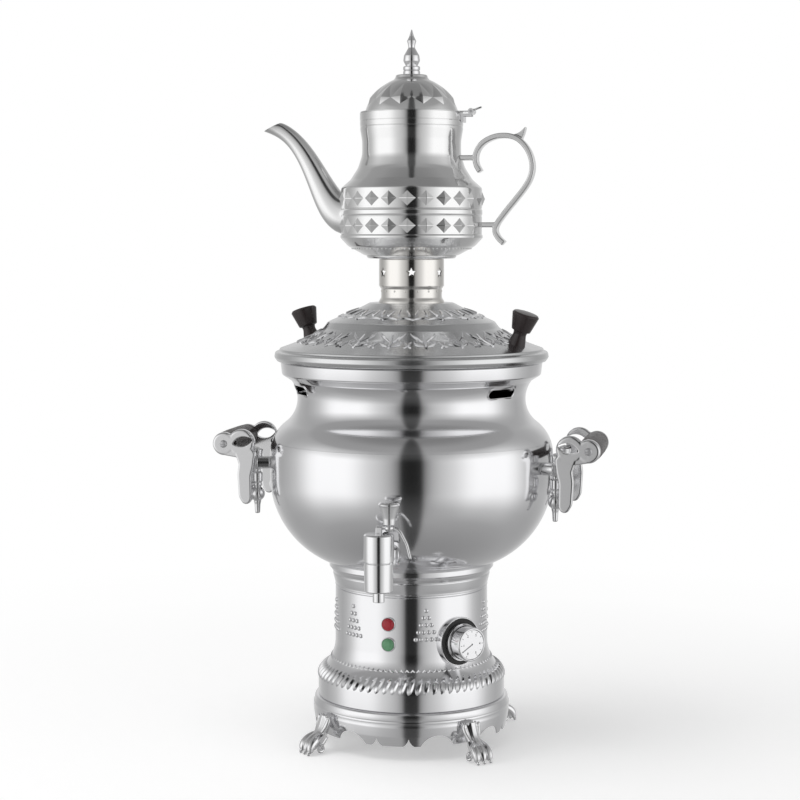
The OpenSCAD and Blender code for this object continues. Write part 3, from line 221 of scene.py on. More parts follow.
soft_lamp("lamp_over", (-0.5, -0.4, 2.2), 1.8, 16)
soft_lamp("lamp_left", (-1.9, -1.2, 1.2), 1.2, 7)

# ---------------------------------------------------------------- skirt
# The lower shell of the base: stainless sheet spun to a drum, and trimmed at the hem to eight arches and
# eight pointed notches. The feet are screwed to it, and its upper flange lies under the bell's.
MM = 0.001
finishes = {}
slot_of = {part["node"]: part["material_slot"] for part in frame["record"]["subparts"]}


def arc(centre, radius, start, end, step=3.0):
    count = max(1, math.ceil(abs(end - start) / step))
    turns = [math.radians(start + (end - start) * i / count) for i in range(count + 1)]
    return [(centre[0] + radius * math.cos(t), centre[1] + radius * math.sin(t)) for t in turns]


def rounded(corners, step=6.0):
    """A path through (x, y) and (x, y, corner radius)."""
    path = []
    for i, point in enumerate(corners):
        here = Vector(point[:2])
        if len(point) < 3 or i in (0, len(corners) - 1):
            path.append(tuple(here))
            continue
        u = (Vector(corners[i - 1][:2]) - here).normalized()
        v = (Vector(corners[i + 1][:2]) - here).normalized()
        half = u.angle(v) / 2
        if half > math.radians(89):
            path.append(tuple(here))
            continue
        middle = here + (u + v).normalized() * point[2] / math.sin(half)
        begin = here + u * point[2] / math.tan(half) - middle
        start = math.degrees(math.atan2(begin[1], begin[0]))
        side = 1 if v.x * u.y - v.y * u.x > 0 else -1
        path += arc(middle, point[2], start, start + side * (180 - math.degrees(2 * half)), step)
    return path


def moved_left(path, distance):
    made = []
    for i, point in enumerate(path):
        here = Vector(point)
        a = (here - Vector(path[i - 1])).normalized() if i else (Vector(path[1]) - here).normalized()
        b = (Vector(path[i + 1]) - here).normalized() if i < len(path) - 1 else a
        made.append(tuple(here + distance * Vector((-a.y - b.y, a.x + b.x)) / (1 + a.dot(b))))
    return made


def sheet(path, wall):
    """The cross-section of a sheet that follows a path, with its inside on the left."""
    return path + moved_left(path, wall)[::-1]


def ring(path):
    return path + path[:1]


def drawn(outline):
    """A chain of points (x, z) in millimetres, all selected in edit mode."""
    kept = outline[:1]
    for point in outline[1:]:
        if (Vector(point) - Vector(kept[-1])).length > 0.03:
            kept.append(point)
    clear_selection()
    bpy.ops.mesh.primitive_plane_add(size=0.0001)
    bpy.ops.object.mode_set(mode="EDIT")
    bpy.ops.mesh.select_mode(type="VERT")
    bpy.ops.mesh.select_all(action="SELECT")
    bpy.ops.mesh.merge(type="CENTER")
    bpy.ops.transform.translate(value=(kept[0][0] * MM, 0, kept[0][1] * MM))
    for a, b in zip(kept, kept[1:]):
        bpy.ops.mesh.extrude_region_move(TRANSFORM_OT_translate={
            "value": ((b[0] - a[0]) * MM, 0, (b[1] - a[1]) * MM)})
    bpy.ops.mesh.select_all(action="SELECT")
    return bpy.context.object


def close_up(merge=0.0):
    """Merges doubled points of the picked mesh, and turns its faces outwards."""
    bpy.ops.object.mode_set(mode="EDIT")
    bpy.ops.mesh.select_all(action="SELECT")
    if merge:
        bpy.ops.mesh.remove_doubles(threshold=merge)
    bpy.ops.mesh.normals_make_consistent(inside=False)
    bpy.ops.object.mode_set(mode="OBJECT")


def turned(name, outline, steps=160, angle=32):
    """An outline of (radius, height) in millimetres, spun round the upright axis."""
    piece = drawn(outline)
    bpy.ops.mesh.spin(steps=steps, angle=2 * math.pi, center=(0, 0, 0), axis=(0, 0, 1))
    close_up(4e-6)
    return finish_mesh(piece, name, angle)


def plate(name, outline, low, high, soft=0.0):
    """An outline of (x, z) in millimetres, filled, from y = low to y = high, with rounded rims."""
    piece = drawn(outline)
    bpy.ops.mesh.edge_face_add()
    bpy.ops.transform.translate(value=(0, low * MM, 0))
    bpy.ops.mesh.extrude_region_move(TRANSFORM_OT_translate={"value": (0, (high - low) * MM, 0)})
    bpy.ops.mesh.select_all(action="SELECT")
    bpy.ops.mesh.normals_make_consistent(inside=False)
    bpy.ops.mesh.select_mode(type="FACE")
    bpy.ops.mesh.select_all(action="DESELECT")
    bpy.ops.object.mode_set(mode="OBJECT")
    if soft:
        for face in piece.data.polygons:
            face.select = abs(face.normal.y) > 0.9
        bpy.ops.object.mode_set(mode="EDIT")
        bpy.ops.mesh.bevel(offset=soft * MM, segments=3, clamp_overlap=True)
        bpy.ops.object.mode_set(mode="OBJECT")
    return finish_mesh(piece, name)


def turn(azimuth):
    """A piece drawn along +X, turned to a direction in degrees from the tap."""
    return Matrix.Rotation(math.radians(azimuth - 90), 4, "Z")


def shift(x, y, z):
    return Matrix.Translation(Vector((x, y, z)) * MM)


def tilt(axis, degrees):
    return Matrix.Rotation(math.radians(degrees), 4, axis)


def put(piece, place, angle=32):
    piece.matrix_world = place @ piece.matrix_world
    return finish_mesh(piece, piece.name, angle)


def rod(name, radius, low, high, sides=48):
    """A plain round cutter or pin along the upright axis."""
    clear_selection()
    bpy.ops.mesh.primitive_cylinder_add(vertices=sides, radius=radius * MM, depth=(high - low) * MM,
        location=(0, 0, (high + low) / 2 * MM))
    return finish_mesh(bpy.context.object, name)


def spoke(name, azimuth, z, radius, low, high, sides=48):
    """The same, lying along a radius of the tank."""
    return put(rod(name, radius, low, high, sides), turn(azimuth) @ shift(0, 0, z) @ tilt("Y", 90))


def cut(piece, *others, operation="DIFFERENCE"):
    """Takes the others' space out of a piece, and uses them up."""
    for other in others:
        pick(piece)
        cutting = piece.modifiers.new("cut", "BOOLEAN")
        cutting.operation = operation
        cutting.object = other
        cutting.solver = "EXACT"
        bpy.ops.object.modifier_apply(modifier="cut")
        bpy.data.objects.remove(other)
    return finish_mesh(piece, piece.name)


def metal(name, colour, rough, wave=0.0, rings=0.0, smear=0.05, worn=None):
    """Polished or plated metal: smears vary its polish, rings are the spinning marks, wave the dents."""
    shader = Shader(bpy.data.materials.new(name))
    place = shader.add("TexCoord", result="Object")
    x, y, z = shader.parts_of(place)
    radius = (x * x + y * y).math("SQRT")
    smears = shader.add("TexNoise", Vector=place, Scale=22.0, Detail=5.0, Roughness=0.6)
    specks = shader.add("TexNoise", Vector=place, Scale=900.0, Detail=2.0)
    lathe = shader.add("CombineXYZ", X=radius * 1500.0, Y=z * 1500.0, Z=0.0)
    spun = shader.add("TexNoise", Vector=lathe, Scale=1.0, Detail=2.0)
    polish = smears.steps((.35, 0), (.72, 1)) * smear + specks * 0.02 + (rough - 0.01)
    tint = smears.steps((.3, colour), (.78, worn or [c * 0.965 for c in colour]))
    dents = shader.add("TexNoise", Vector=place, Scale=34.0, Detail=2.0)
    height = dents * wave + spun * rings + specks * 0.000001
    bump = shader.add("Bump", Height=height, Distance=1.0, Strength=1.0)
    body = shader.add("BsdfPrincipled", Base_Color=tint, Metallic=1.0, Roughness=polish, Normal=bump)
    shader.add("OutputMaterial", Surface=body)
    finishes[name] = bpy.data.materials[name]


def dressed(piece, finish):
    piece.data.materials.clear()
    piece.data.materials.append(finishes[finish])
    return piece


def stand_for(piece, *nodes, finish=None):
    """The piece takes the place, the body and the finish of the CAD nodes it stands for."""
    name = slot_of[nodes[0]]
    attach(dressed(piece, finish or name), frame["nodes"][nodes[0]]["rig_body"])
    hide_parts(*nodes)


metal("base_steel", (.79, .80, .80), .09, wave=.00008, rings=.0000006)
skirt_path = rounded([(75.4, 44.6), (92.5, 44.6, 2.2), (93.5, 38.4), (94.15, 37.6, .3), (94.15, 36.0, .3),
    (93.9, 35.2), (94.2, 32, 8), (93.1, 23, 10), (90.9, 14)])
skirt = turned("base_skirt_shell", ring(sheet(skirt_path, -1)), 240)
half_notch = [(6.5, 13), (3.2, 15.5), (1.2, 18.3)]
arch_azimuth, notch_azimuth = 26.5, 9.5         # degrees from the front, the back and the sides
hem = []
for quarter in range(0, 360, 90):
    for side in (-1, 1):
        hem.append(spoke("arch", quarter + side * arch_azimuth, 7.5, 17, 78, 99, 96))
        notch = plate("notch", half_notch + [(0, 21.5)] + [(-y, z) for y, z in half_notch[::-1]], -99, -78)
        hem.append(put(notch, turn(quarter + side * notch_azimuth) @ tilt("Z", 90)))
stand_for(cut(skirt, *hem), "base_skirt")

# ---------------------------------------------------------------- bell
# The upper shell of the base, spun over a former. Slanted ribs, a thread of small scallops and triangles
# of beads are pressed into it from behind, and holes are punched for the dial, the lamps and the cord.


def limb(name, points, radii, resolution=3, order=3, along=6, closed=False):
    """A solid rod along points in millimetres, thick or thin as the radii say."""
    line = bpy.data.curves.new(name, "CURVE")
    line.dimensions = "3D"
    line.bevel_depth = MM
    line.bevel_resolution = resolution
    line.use_fill_caps = not closed
    line.resolution_u = along
    spline = line.splines.new("NURBS")
    spline.points.add(len(points) - 1)
    for spot, point, radius in zip(spline.points, points, radii):
        spot.co = (point[0] * MM, point[1] * MM, point[2] * MM, 1)
        spot.radius = radius
    spline.order_u = order
    spline.use_endpoint_u = not closed
    spline.use_cyclic_u = closed
    piece = bpy.data.objects.new(name, line)
    scene.collection.objects.link(piece)
    pick(piece)
    bpy.ops.object.convert(target="MESH")
    close_up(2e-6)
    return finish_mesh(bpy.context.object, name)


def ball(name, place, size, sides=12):
    """A flattened bead: its centre and its three half sizes in millimetres."""
    clear_selection()
    bpy.ops.mesh.primitive_uv_sphere_add(segments=sides, ring_count=sides // 2 + 1, radius=MM)
    piece = bpy.context.object
    piece.scale = size
    piece.location = [c * MM for c in place]
    return finish_mesh(piece, name, 60)


def joined(name, *pieces, angle=32):
    clear_selection()
    for piece in pieces:
        piece.select_set(True)
    bpy.context.view_layer.objects.active = pieces[0]
    bpy.ops.object.join()
    return finish_mesh(bpy.context.object, name, angle)


def twin_of(piece):
    twin = piece.copy()
    twin.data = piece.data.copy()
    scene.collection.objects.link(twin)
    return twin


def repeated(piece, name, places):
    """The piece once at each place, joined to one object."""
    twins = [twin_of(piece) for _ in places]
    for twin, place in zip(twins, places):
        twin.matrix_world = place
    bpy.data.objects.remove(piece)
    return joined(name, *twins)


def trim(piece, node, finish):
    """Pressed or printed work on a piece: it moves with the node it is on."""
    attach(dressed(piece, finish), frame["nodes"][node]["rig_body"])


# What is let into the bell: degrees from the front, and height
dial_azimuth, dial_z = 48, 106
lamp_azimuth, lamp_heights = -6, {"lamp_red": 124, "lamp_green": 105}
gland_azimuth, gland_z = 180, 104
bell_path = rounded([(58.7, 149), (72.7, 149, 1.2), (73.1, 83, 34), (89.4, 66.6, 14), (89.4, 44.6, 1),
    (75.4, 44.6)], 3)
bell = turned("base_bell_shell", ring(sheet(bell_path, -1)), 256)
stand_for(cut(bell, spoke("hole", dial_azimuth, dial_z, 5.3, 60, 82),
    *[spoke("hole", lamp_azimuth, z, 5.2, 60, 82) for z in lamp_heights.values()],
    spoke("hole", gland_azimuth, gland_z, 8.2, 60, 82)), "base_bell")

# Ribs as points (radius, height, degrees aside)
rib_spots = [(80.9, 74.6, -.4), (83.0, 72.2, .6), (85.4, 69.4, 1.6), (87.3, 66.2, 2.5), (87.8, 62.8, 3.3),
    (88.2, 60.6, 3.7)]
rib = limb("rib", [(r * math.cos(math.radians(-2.3 - a)), r * math.sin(math.radians(-2.3 - a)), z)
    for r, z, a in rib_spots], [.8, 2.5, 2.9, 3.0, 2.6, .8], 2)
trim(repeated(rib, "base_ribs", [turn(i * 5) for i in range(72)]), "base_bell", "base_steel")
hook = limb("hook", [(76.3, -2.6, 82.6), (76.9, -2.2, 81.1), (77.5, 0, 80.1), (76.9, 2.2, 81.1),
    (76.3, 2.6, 82.6)], [.35, .6, .7, .6, .35], 1)
trim(repeated(hook, "base_scallops", [tilt("Z", i * 4) for i in range(90)]), "base_bell", "base_steel")
bead_pitch, row_pitch, first_row = 4.9, 6.75, 137
spots = []
for group in (-67, -37, 22, 81, 111, 141, 219, 249):
    for row in range(5):
        for i in range(row + 1):
            along = Matrix.Rotation((i - row / 2) * bead_pitch / 72.7, 4, "Z")
            spots.append(turn(group) @ along @ shift(0, 0, first_row - row * row_pitch))
beads = repeated(ball("bead", (72.9, 0, 0), (1.5, 2.15, 2.15)), "base_beads", spots)
trim(beads, "base_bell", "base_steel")

# ---------------------------------------------------------------- feet
# Four cast and chromed lion's paws stand under the skirt, each held by one screw from inside. A fan of
# leaf ribs climbs the skirt, and three toes reach out flat on the table.


def fused(piece, voxel, rounds):
    """Melts overlapping parts into one cast skin with soft corners."""
    pick(piece)
    melt = piece.modifiers.new("melt", "REMESH")
    melt.mode = "VOXEL"
    melt.voxel_size = voxel * MM
    bpy.ops.object.modifier_apply(modifier="melt")
    ease = piece.modifiers.new("ease", "SMOOTH")
    ease.factor = 0.5
    ease.iterations = rounds
    bpy.ops.object.modifier_apply(modifier="ease")
    return finish_mesh(piece, piece.name, 60)


metal("casting_chrome", (.84, .85, .87), .05, wave=.0001)
parts = [limb("paw", [(96, 0, 34), (98, 0, 27), (101.5, 0, 19), (107, 0, 12), (113.5, 0, 7)],
    [6.2, 6.4, 6.2, 6.8, 5.6])]
for y in (-6.8, 0, 6.8):
    parts.append(limb("toe", [(103, y * .5, 18), (109.5, y * .85, 15.4), (115.8, y * .98, 11),
        (118.4, y * 1.0, 5.8), (117.6, y * 1.0, 3.0)], [3.2, 3.9, 4.1, 3.5, 2.8]))
    parts.append(ball("claw", (119.9, y * 1.02, 2.2), (1.9, 1.7, 2.2)))
for y in (-7.4, -3.9, 0, 3.9, 7.4):
    parts.append(limb("leaf", [(106, y * .5, 16.5), (101.9, y * .74, 22), (99.4, y * 1.0, 28),
        (98.2, y * 1.06, 33.5 - abs(y) * .22), (99.8, y * 1.1, 36.4 - abs(y) * .28)],
        [2.2, 2.4, 2.6, 2.2, 1.2]))
for y in (-8.0, 8.0):
    parts.append(limb("curl", [(105.5, y * .8, 9), (104, y, 5), (107.5, y * 1.08, 2.6), (110.5, y, 4.6),
        (109, y * .85, 6.4)], [1.5, 1.9, 2.0, 1.6, .9]))
parts.append(limb("heel", [(97, 0, 14.6), (101.5, 0, 9.5), (107, 0, 4.4)], [3.2, 4.4, 4.0]))
paw = fused(joined("paw", *parts), .42, 3)
pick(paw)                                       # ground flat underneath
bpy.ops.object.mode_set(mode="EDIT")
bpy.ops.mesh.select_all(action="SELECT")
bpy.ops.mesh.bisect(plane_co=(0, 0, .00002), plane_no=(0, 0, 1), use_fill=True, clear_inner=True)
bpy.ops.object.mode_set(mode="OBJECT")
finish_mesh(paw, "paw", 60)
for azimuth, node in ((-45, "foot_front_left"), (45, "foot_front_right"), (135, "foot_back_right"),
        (225, "foot_back_left")):
    foot = twin_of(paw)
    foot.name = node + "_cast"
    stand_for(put(foot, turn(azimuth), 60), node)
bpy.data.objects.remove(paw)

# ---------------------------------------------------------------- bottom plate and fasteners
# A pierced steel plate closes the base from below, and four studs under the tank clamp collar, bell and
# tank together. These plain pieces keep the mesh they were built with and get their finish.


def as_built(*nodes):
    for node in nodes:
        dressed(frame["nodes"][node], slot_of[node])


metal("fastener_steel", (.62, .64, .66), .24, smear=.14, worn=(.70, .68, .60))
metal("plate_steel", (.48, .49, .50), .34, smear=.16, worn=(.40, .38, .36))
as_built("foot_screws", "bottom_plate", "bottom_screws", "tie_studs", "thermal_cutout")

# ---------------------------------------------------------------- pilot lamps
# Two lamps are snapped into the bell left of the tap, the red one above the green one. Each lens is a
# moulded cap of tinted plastic with a soft dome, in a thin bright bezel.


def moulded(name, colour, rough, grain=400.0, depth=0.00002, coat=0.0, sheen=0.12):
    """Plastic or rubber: a mottled colour, a fine grain and duller handled patches."""
    shader = Shader(bpy.data.materials.new(name))
    place = shader.add("TexCoord", result="Object")
    mottle = shader.add("TexNoise", Vector=place, Scale=30.0, Detail=6.0)
    pits = shader.add("TexNoise", Vector=place, Scale=grain, Detail=3.0)
    tint = mottle.steps((.3, colour), (.75, [min(1, c * 1.25 + 0.006) for c in colour]))
    dull = mottle.steps((.4, 0), (.7, 1)) * sheen + (rough - 0.02)
    bump = shader.add("Bump", Height=pits, Distance=depth, Strength=1.0)
    body = shader.add("BsdfPrincipled", Base_Color=tint, Roughness=dull, Normal=bump,
        Coat_Weight=coat, Coat_Roughness=0.05)
    shader.add("OutputMaterial", Surface=body)
    finishes[name] = bpy.data.materials[name]


metal("dial_chrome", (.84, .845, .85), .09, wave=.00003, rings=.0000006)
moulded("lens_red", (.048, .005, .010), .10, depth=.000004, coat=1.0, sheen=.05)
moulded("lens_green", (.010, .050, .036), .10, depth=.000004, coat=1.0, sheen=.05)
for node, z in lamp_heights.items():
    on_bell = turn(lamp_azimuth) @ shift(0, 0, z) @ tilt("Y", 90)
    stand_for(put(turned(node + "_lens", rounded([(0, 54), (4.95, 54), (4.95, 72.9), (5.75, 72.9),
        (5.75, 74.9, 1.2), (3.45, 76.3, 3), (0, 76.7)]), 48), on_bell), node)
    trim(put(turned(node + "_bezel", ring(rounded([(5.8, 71.9), (6.95, 71.9), (6.95, 74.1, .7),
        (6.1, 74.4, .4), (5.8, 73.9)])), 64), on_bell), node, "dial_chrome")

# ---------------------------------------------------------------- thermostat
# A turned knob on a shaft sets the water's temperature. It stands before a bright dial cup; a black ring
# in the cup round the knob is painted shade of the dark recess there. The switch body behind the bell has
# a copper feeler under the tank's floor.
moulded("gland_plastic", (.014, .014, .015), .38, grain=700.0)
moulded("thermostat_case", (.70, .62, .46), .45)
metal("bulb_copper", (.72, .40, .26), .22, smear=.14, worn=(.48, .26, .18))
as_built("thermostat_body", "thermostat_shaft", "thermostat_bulb", "terminal_block")
on_dial = turn(dial_azimuth) @ shift(0, 0, dial_z) @ tilt("Y", 90)
on_shaft = on_dial @ shift(0, 0, 76.8)
stand_for(put(turned("dial_cup", ring(rounded([(6, 70.5), (22, 69.0), (23, 68.6), (23, 76.3, 1.0),
    (22.2, 76.3, .3), (21.9, 75.7), (6, 75.7)])), 128), on_dial), "dial_ring")
# Painted shade: a black plastic ring round the knob, laid where the recess in the dial cup falls dark
trim(put(turned("dial_face", ring([(17.0, 75.5), (21.8, 75.5), (21.8, 75.95), (17.0, 75.95)]), 128),
    on_dial), "dial_ring", "gland_plastic")
knob = turned("thermostat_knob_turned", rounded([(0, 0), (17.5, 0), (17.5, 3, .8), (16.3, 4.2),
    (15.9, 17, 1.5), (14.1, 17, .4), (13.5, 16.2), (0, 16.2)]), 128)
slot = plate("slot", [(-1, 15.2), (12.8, 15.2), (12.8, 18), (-1, 18)], -0.9, 0.9)
stand_for(put(cut(knob, put(slot, tilt("Z", -62))), on_shaft), "thermostat_knob")
marks = []
for step in range(11):
    around = math.radians(-150 + step * 30)
    tick = plate("tick", [(-12.9, 16.15), (-11.4, 16.15), (-11.4, 16.32), (-12.9, 16.32)], -0.2, 0.2)
    marks.append(put(tick, Matrix.Rotation(-around, 4, "Z")))
    if step % 2 == 0:
        clear_selection()
        bpy.ops.object.text_add()
        digit = bpy.context.object
        digit.data.body = str(step // 2)
        digit.data.size = 3.2 * MM
        digit.data.extrude = 0.1 * MM
        digit.data.align_x = digit.data.align_y = "CENTER"
        bpy.ops.object.convert(target="MESH")
        digit = bpy.context.object
        marks.append(put(digit, shift(-9.4 * math.cos(around), 9.4 * math.sin(around), 16.24)
            @ tilt("Z", 90)))
trim(put(joined("dial_marks", *marks), on_shaft), "thermostat_knob", "gland_plastic")

# ---------------------------------------------------------------- cord gland
# A black nylon gland grips the mains cord at the back of the bell. Its nut has grooves for the fingers.
gland = turned("cord_gland_moulded", ring(rounded([(3.75, 60.7), (8, 60.7), (8, 72.2), (10.4, 72.2),
    (10.4, 75.7, .8), (7.5, 76.3, .5), (6, 86.7, 2), (3.75, 86.7)])), 64)
ridge = rod("ridge", .9, 72.3, 75.4, 12)
ridges = repeated(put(ridge, shift(10.1, 0, 0)), "ridges", [tilt("Z", i * 20) for i in range(18)])
at_gland = turn(gland_azimuth) @ shift(0, 0, gland_z) @ tilt("Y", 90)
stand_for(put(joined("cord_gland_moulded", gland, ridges), at_gland), "cord_gland")

# ---------------------------------------------------------------- tank bowl and collar
# The tank's lower shell, spun from one disc of stainless steel and polished. A pressed collar carries
# it on the bell, and holes take the heater, the tap's shank and the screws of the side handles.
metal("tank_steel", (.80, .805, .815), .075, wave=.00006, rings=.0000006)
belly_at, shoulder_at = (46, 256), (97, 275.73)     # centres of the two arcs, (radius, height)
pipe_z = 197                                        # height of the tap's shank
handle_screw, handle_screw_z = 74.53, 268           # degrees from the front, and height
bowl_curve = arc(belly_at, 89, -72.76, 0, 2) + arc(shoulder_at, 38, 0, 20.45)[1:]
bowl = turned("tank_bowl_spun", sheet([(0, 171)] + bowl_curve, 1), 256)
holes = [spoke("hole", 0, pipe_z, 8.05, 100, 125)]
for azimuth in (165, 195):
    holes.append(put(rod("hole", 7.1, 168, 175), turn(azimuth) @ shift(45, 0, 0)))
for azimuth in (handle_screw, 105.47, 254.53, 285.47):
    holes.append(spoke("hole", azimuth, handle_screw_z, 2.7, 128, 137))
stand_for(cut(bowl, *holes), "tank_bowl")
collar = rounded([(58.7, 149), (71.2, 149), (71.2, 150.2, .3), (73.3, 150.7, .5), (72.7, 152, .5),
    (73.6, 155, 4), (75.2, 161.6, 1.5), (74.6, 162.8, .5), (76.4, 165.8, 2), (77.0, 167.6, .5),
    (78.5, 168.4, .6), (78.5, 173.1)])
stand_for(turned("tank_collar_pressed", ring(sheet(collar, 1)), 256), "tank_collar")

# ---------------------------------------------------------------- tank neck
# The upper shell sweeps in to a narrow neck and out to the mouth, where its edge is rolled inwards. Three
# steam vents with raised lips are pressed through the neck.


def stadium(width, height, z):
    """A slot with round ends: points (across, height) in millimetres."""
    end = (width - height) / 2
    return arc((end, z), height / 2, -90, 90, 12) + arc((-end, z), height / 2, 90, 270, 12)


cove_at, cove_r = (137.3, 329), 28.8
vents, vent_z = (180, 300, 60), 338.5               # degrees from the front, and height
cove = arc(cove_at, cove_r, 232.9, 142.58)
neck_path = arc(shoulder_at, 38, 20.6, 52.9) + cove[1:] + rounded([cove[-1], (123, 352, 2.5),
    (124.4, 364, 1.6), (119, 364)])[1:]
neck = turned("tank_neck_spun", ring(sheet(neck_path, 1)), 256)
stand_for(cut(neck, *[put(plate("vent", stadium(37, 8.6, vent_z), -121, -100.5), turn(azimuth)
    @ tilt("Z", 90)) for azimuth in vents]), "tank_neck")
lip = []
for across, z in stadium(37.4, 9.4, vent_z):
    r = cove_at[0] - math.sqrt(cove_r ** 2 - (z - cove_at[1]) ** 2)
    lip.append((r * math.cos(across / 109), r * math.sin(across / 109), z))
lips = limb("lip", lip, [.85] * len(lip), 2, 3, 1, True)
trim(repeated(lips, "vent_lips", [turn(azimuth) for azimuth in vents]), "tank_neck", "tank_steel")

# ---------------------------------------------------------------- heater
# A bent tubular heater is nutted through the tank's floor on red rubber gaskets.
metal("heater_sheath", (.30, .29, .28), .42, smear=.18, worn=(.38, .30, .22))
moulded("gasket_rubber", (.42, .035, .025), .5)
as_built("heating_element", "heater_gaskets", "heater_nuts")

# ---------------------------------------------------------------- tap
# A chromed drip tap on a shank through the bowl, tightened by a hexagon nut. The lever turns on a
# cross pin, and its round cam lets a rubber-faced stem down on the seat above the nozzle.


def weld(piece, *others):
    """Joins solids to one solid."""
    return cut(piece, *others, operation="UNION")


metal("tap_chrome", (.80, .81, .83), .05, wave=.00003, rings=.0000004)
moulded("seal_rubber", (.012, .012, .012), .55)
as_built("tap_gasket", "tap_stem", "tap_seal", "tap_pin")
at_tap = turn(0) @ shift(151, 0, 0)
at_pin = at_tap @ shift(0, 0, 217.5) @ tilt("X", 90)
along_pipe = turn(0) @ shift(0, 0, pipe_z) @ tilt("Y", 90)
shank = turned("tap_shank_turned", ring([(4, 104.6), (8, 104.6), (8, 130.5), (4, 130.5)]), 96)
saddle = turned("saddle", rounded([(0, 94), (12.5, 94), (12.5, 123.5, 1.8), (0, 123.5)]), 96)
form = turned("form", [(0, 170.95)] + arc(belly_at, 89.06, -72.7, 0, 2) + [(0, 256)], 256)
shank = weld(put(shank, along_pipe), cut(put(saddle, along_pipe), form))
stand_for(cut(shank, spoke("bore", 0, pipe_z, 5, 90, 132)), "tap_shank")
nut = put(rod("tap_nut_hexagon", 13.86, 124, 136.4, 6), tilt("Z", 90))
chamfer = turned("chamfer", ring([(11.9, 123), (20, 123), (20, 137.4), (11.9, 137.4), (11.9, 136.6),
    (14.0, 135.1), (14.0, 125.3), (11.9, 123.8)]), 96)
stand_for(cut(put(cut(nut, chamfer), along_pipe), spoke("bore", 0, pipe_z, 8.05, 123, 134.1),
    spoke("bore", 0, pipe_z, 6.3, 123, 137)), "tap_nut")

barrel = put(turned("tap_body_cast", rounded([(0, 169.5), (11.9, 169.5), (12.7, 170.5), (13.1, 195),
    (12.5, 195.8), (13.5, 196.8), (13.5, 219.6, 1.2), (12.2, 221, .5), (0, 221.3)]), 128), at_tap)
inlet = put(turned("inlet", rounded([(0, 132), (8, 132, .3), (8, 134, .5), (6.2, 134.2), (6.2, 136.8, 1.5),
    (6.2, 145), (0, 145)]), 96), along_pipe)
barrel = weld(barrel, inlet)
# The pin's hole is bored before the slot is milled across it
stand_for(cut(barrel, put(rod("pin", 1.55, -20, 20), at_pin), put(rod("plug", 9.05, 165, 178), at_tap),
    put(rod("room", 8, 177, 202.5), at_tap), put(rod("bore", 3.05, 201, 224), at_tap),
    spoke("inlet", 0, pipe_z, 4.4, 130, 151),
    put(plate("slot", [(-15, 210), (10, 210), (10, 230), (-15, 230)], -2.8, 2.8), at_tap)), "tap_body")
stand_for(put(turned("tap_nozzle_turned", ring(rounded([(3.8, 160), (5.4, 160, .6), (5.4, 169.5),
    (9, 169.5), (9, 178), (3.8, 178)])), 96), at_tap), "tap_nozzle")

blade = put(plate("blade", arc((-1.54, 215.66), 5, 119.4, 404.9, 8) + [(2, 226.6), (-4, 226.6)],
    -2.5, 2.5, .4), at_tap)
tail = sheet(rounded([(27, 199), (24, 211, 20), (17, 224.4, 9), (9, 225.4, 4), (-2.5, 225.4)]), -2.4)
tail = put(plate("tail", tail, -151, -147, .9), turn(0) @ tilt("Z", 90))
boss = turned("boss", rounded([(0, 222.6), (3.4, 223.4), (4.2, 225.5, 1.5), (4.2, 227.6, 1.5), (2, 228.4),
    (2, 239.8), (0, 239.8)]), 48)
lever = fused(joined("tap_lever_cast", blade, tail, put(boss, turn(0) @ shift(149, 9, 0))), .3, 2)
stand_for(cut(lever, put(rod("pin", 1.55, -20, 20), at_pin)), "tap_lever")
stand_for(put(turned("tap_knob_turned", rounded([(0, 0), (5.4, 0, .8), (5.8, 6, 9), (8.8, 16, 4),
    (9.8, 18.2, 1.2), (8, 20.4, 2), (0, 21.4)]), 96), turn(0) @ shift(149, 9, 228.8)), "tap_knob")

# ---------------------------------------------------------------- side handles
# Each handle is a black moulded grip on a steel rod between two cast and chromed cheeks. A cheek is a
# leaf with a drop below it, and a turned baluster at its inner edge is screwed to the tank.


def mirrored(piece, x, y):
    """A mirror copy, with its faces turned outwards again."""
    twin = twin_of(piece)
    twin.scale = (x, y, 1)
    finish_mesh(twin, piece.name, 60)
    if x * y < 0:
        close_up()
    return twin


def by_grip(points):
    """Points (x, z) measured from the grip's axis."""
    return [(x + grip_x, z + grip_z) for x, z in points]


grip_x, grip_z = 173.4, 285.5
moulded("grip_plastic", (.010, .009, .010), .2, grain=250.0, depth=.00001, coat=.6, sheen=.1)
as_built("left_handle_screws", "right_handle_screws")
grip_outline = [(3.05, -37.5), (10.6, -37.5), (11.0, -37.1)]
for z in range(-36, 36, 2):
    swell = 11.5 - .5 * (abs(z + 1) / 37) ** 3
    grip_outline += [(swell - .3, z), (swell, z + .4), (swell, z + 1.6)]
grip_outline += [(11.0, 37.1), (10.6, 37.5), (3.05, 37.5)]
for side, name in ((-1, "left_grip"), (1, "right_grip")):
    along_grip = shift(side * grip_x, 0, grip_z) @ tilt("X", 90)
    stand_for(put(turned(name + "_moulded", ring(grip_outline), 96), along_grip), name)
    rod_name = name.replace("grip", "rod")
    core = turned(rod_name + "_turned", rounded([(0, -48.4), (2.7, -48.4), (3, -48.1), (3, 44.7),
        (3.6, 44.7), (3.6, 45.6, .5), (2.2, 46.6, 1.5), (0, 46.8)]), 48)
    core = cut(core, plate("slot", [(-4, 46), (4, 46), (4, 48), (-4, 48)], -.4, .4))
    nut = rod("nut", 5.4, -48.2, -44.9, 6)
    stand_for(put(joined(rod_name + "_turned", core, nut), along_grip), rod_name)

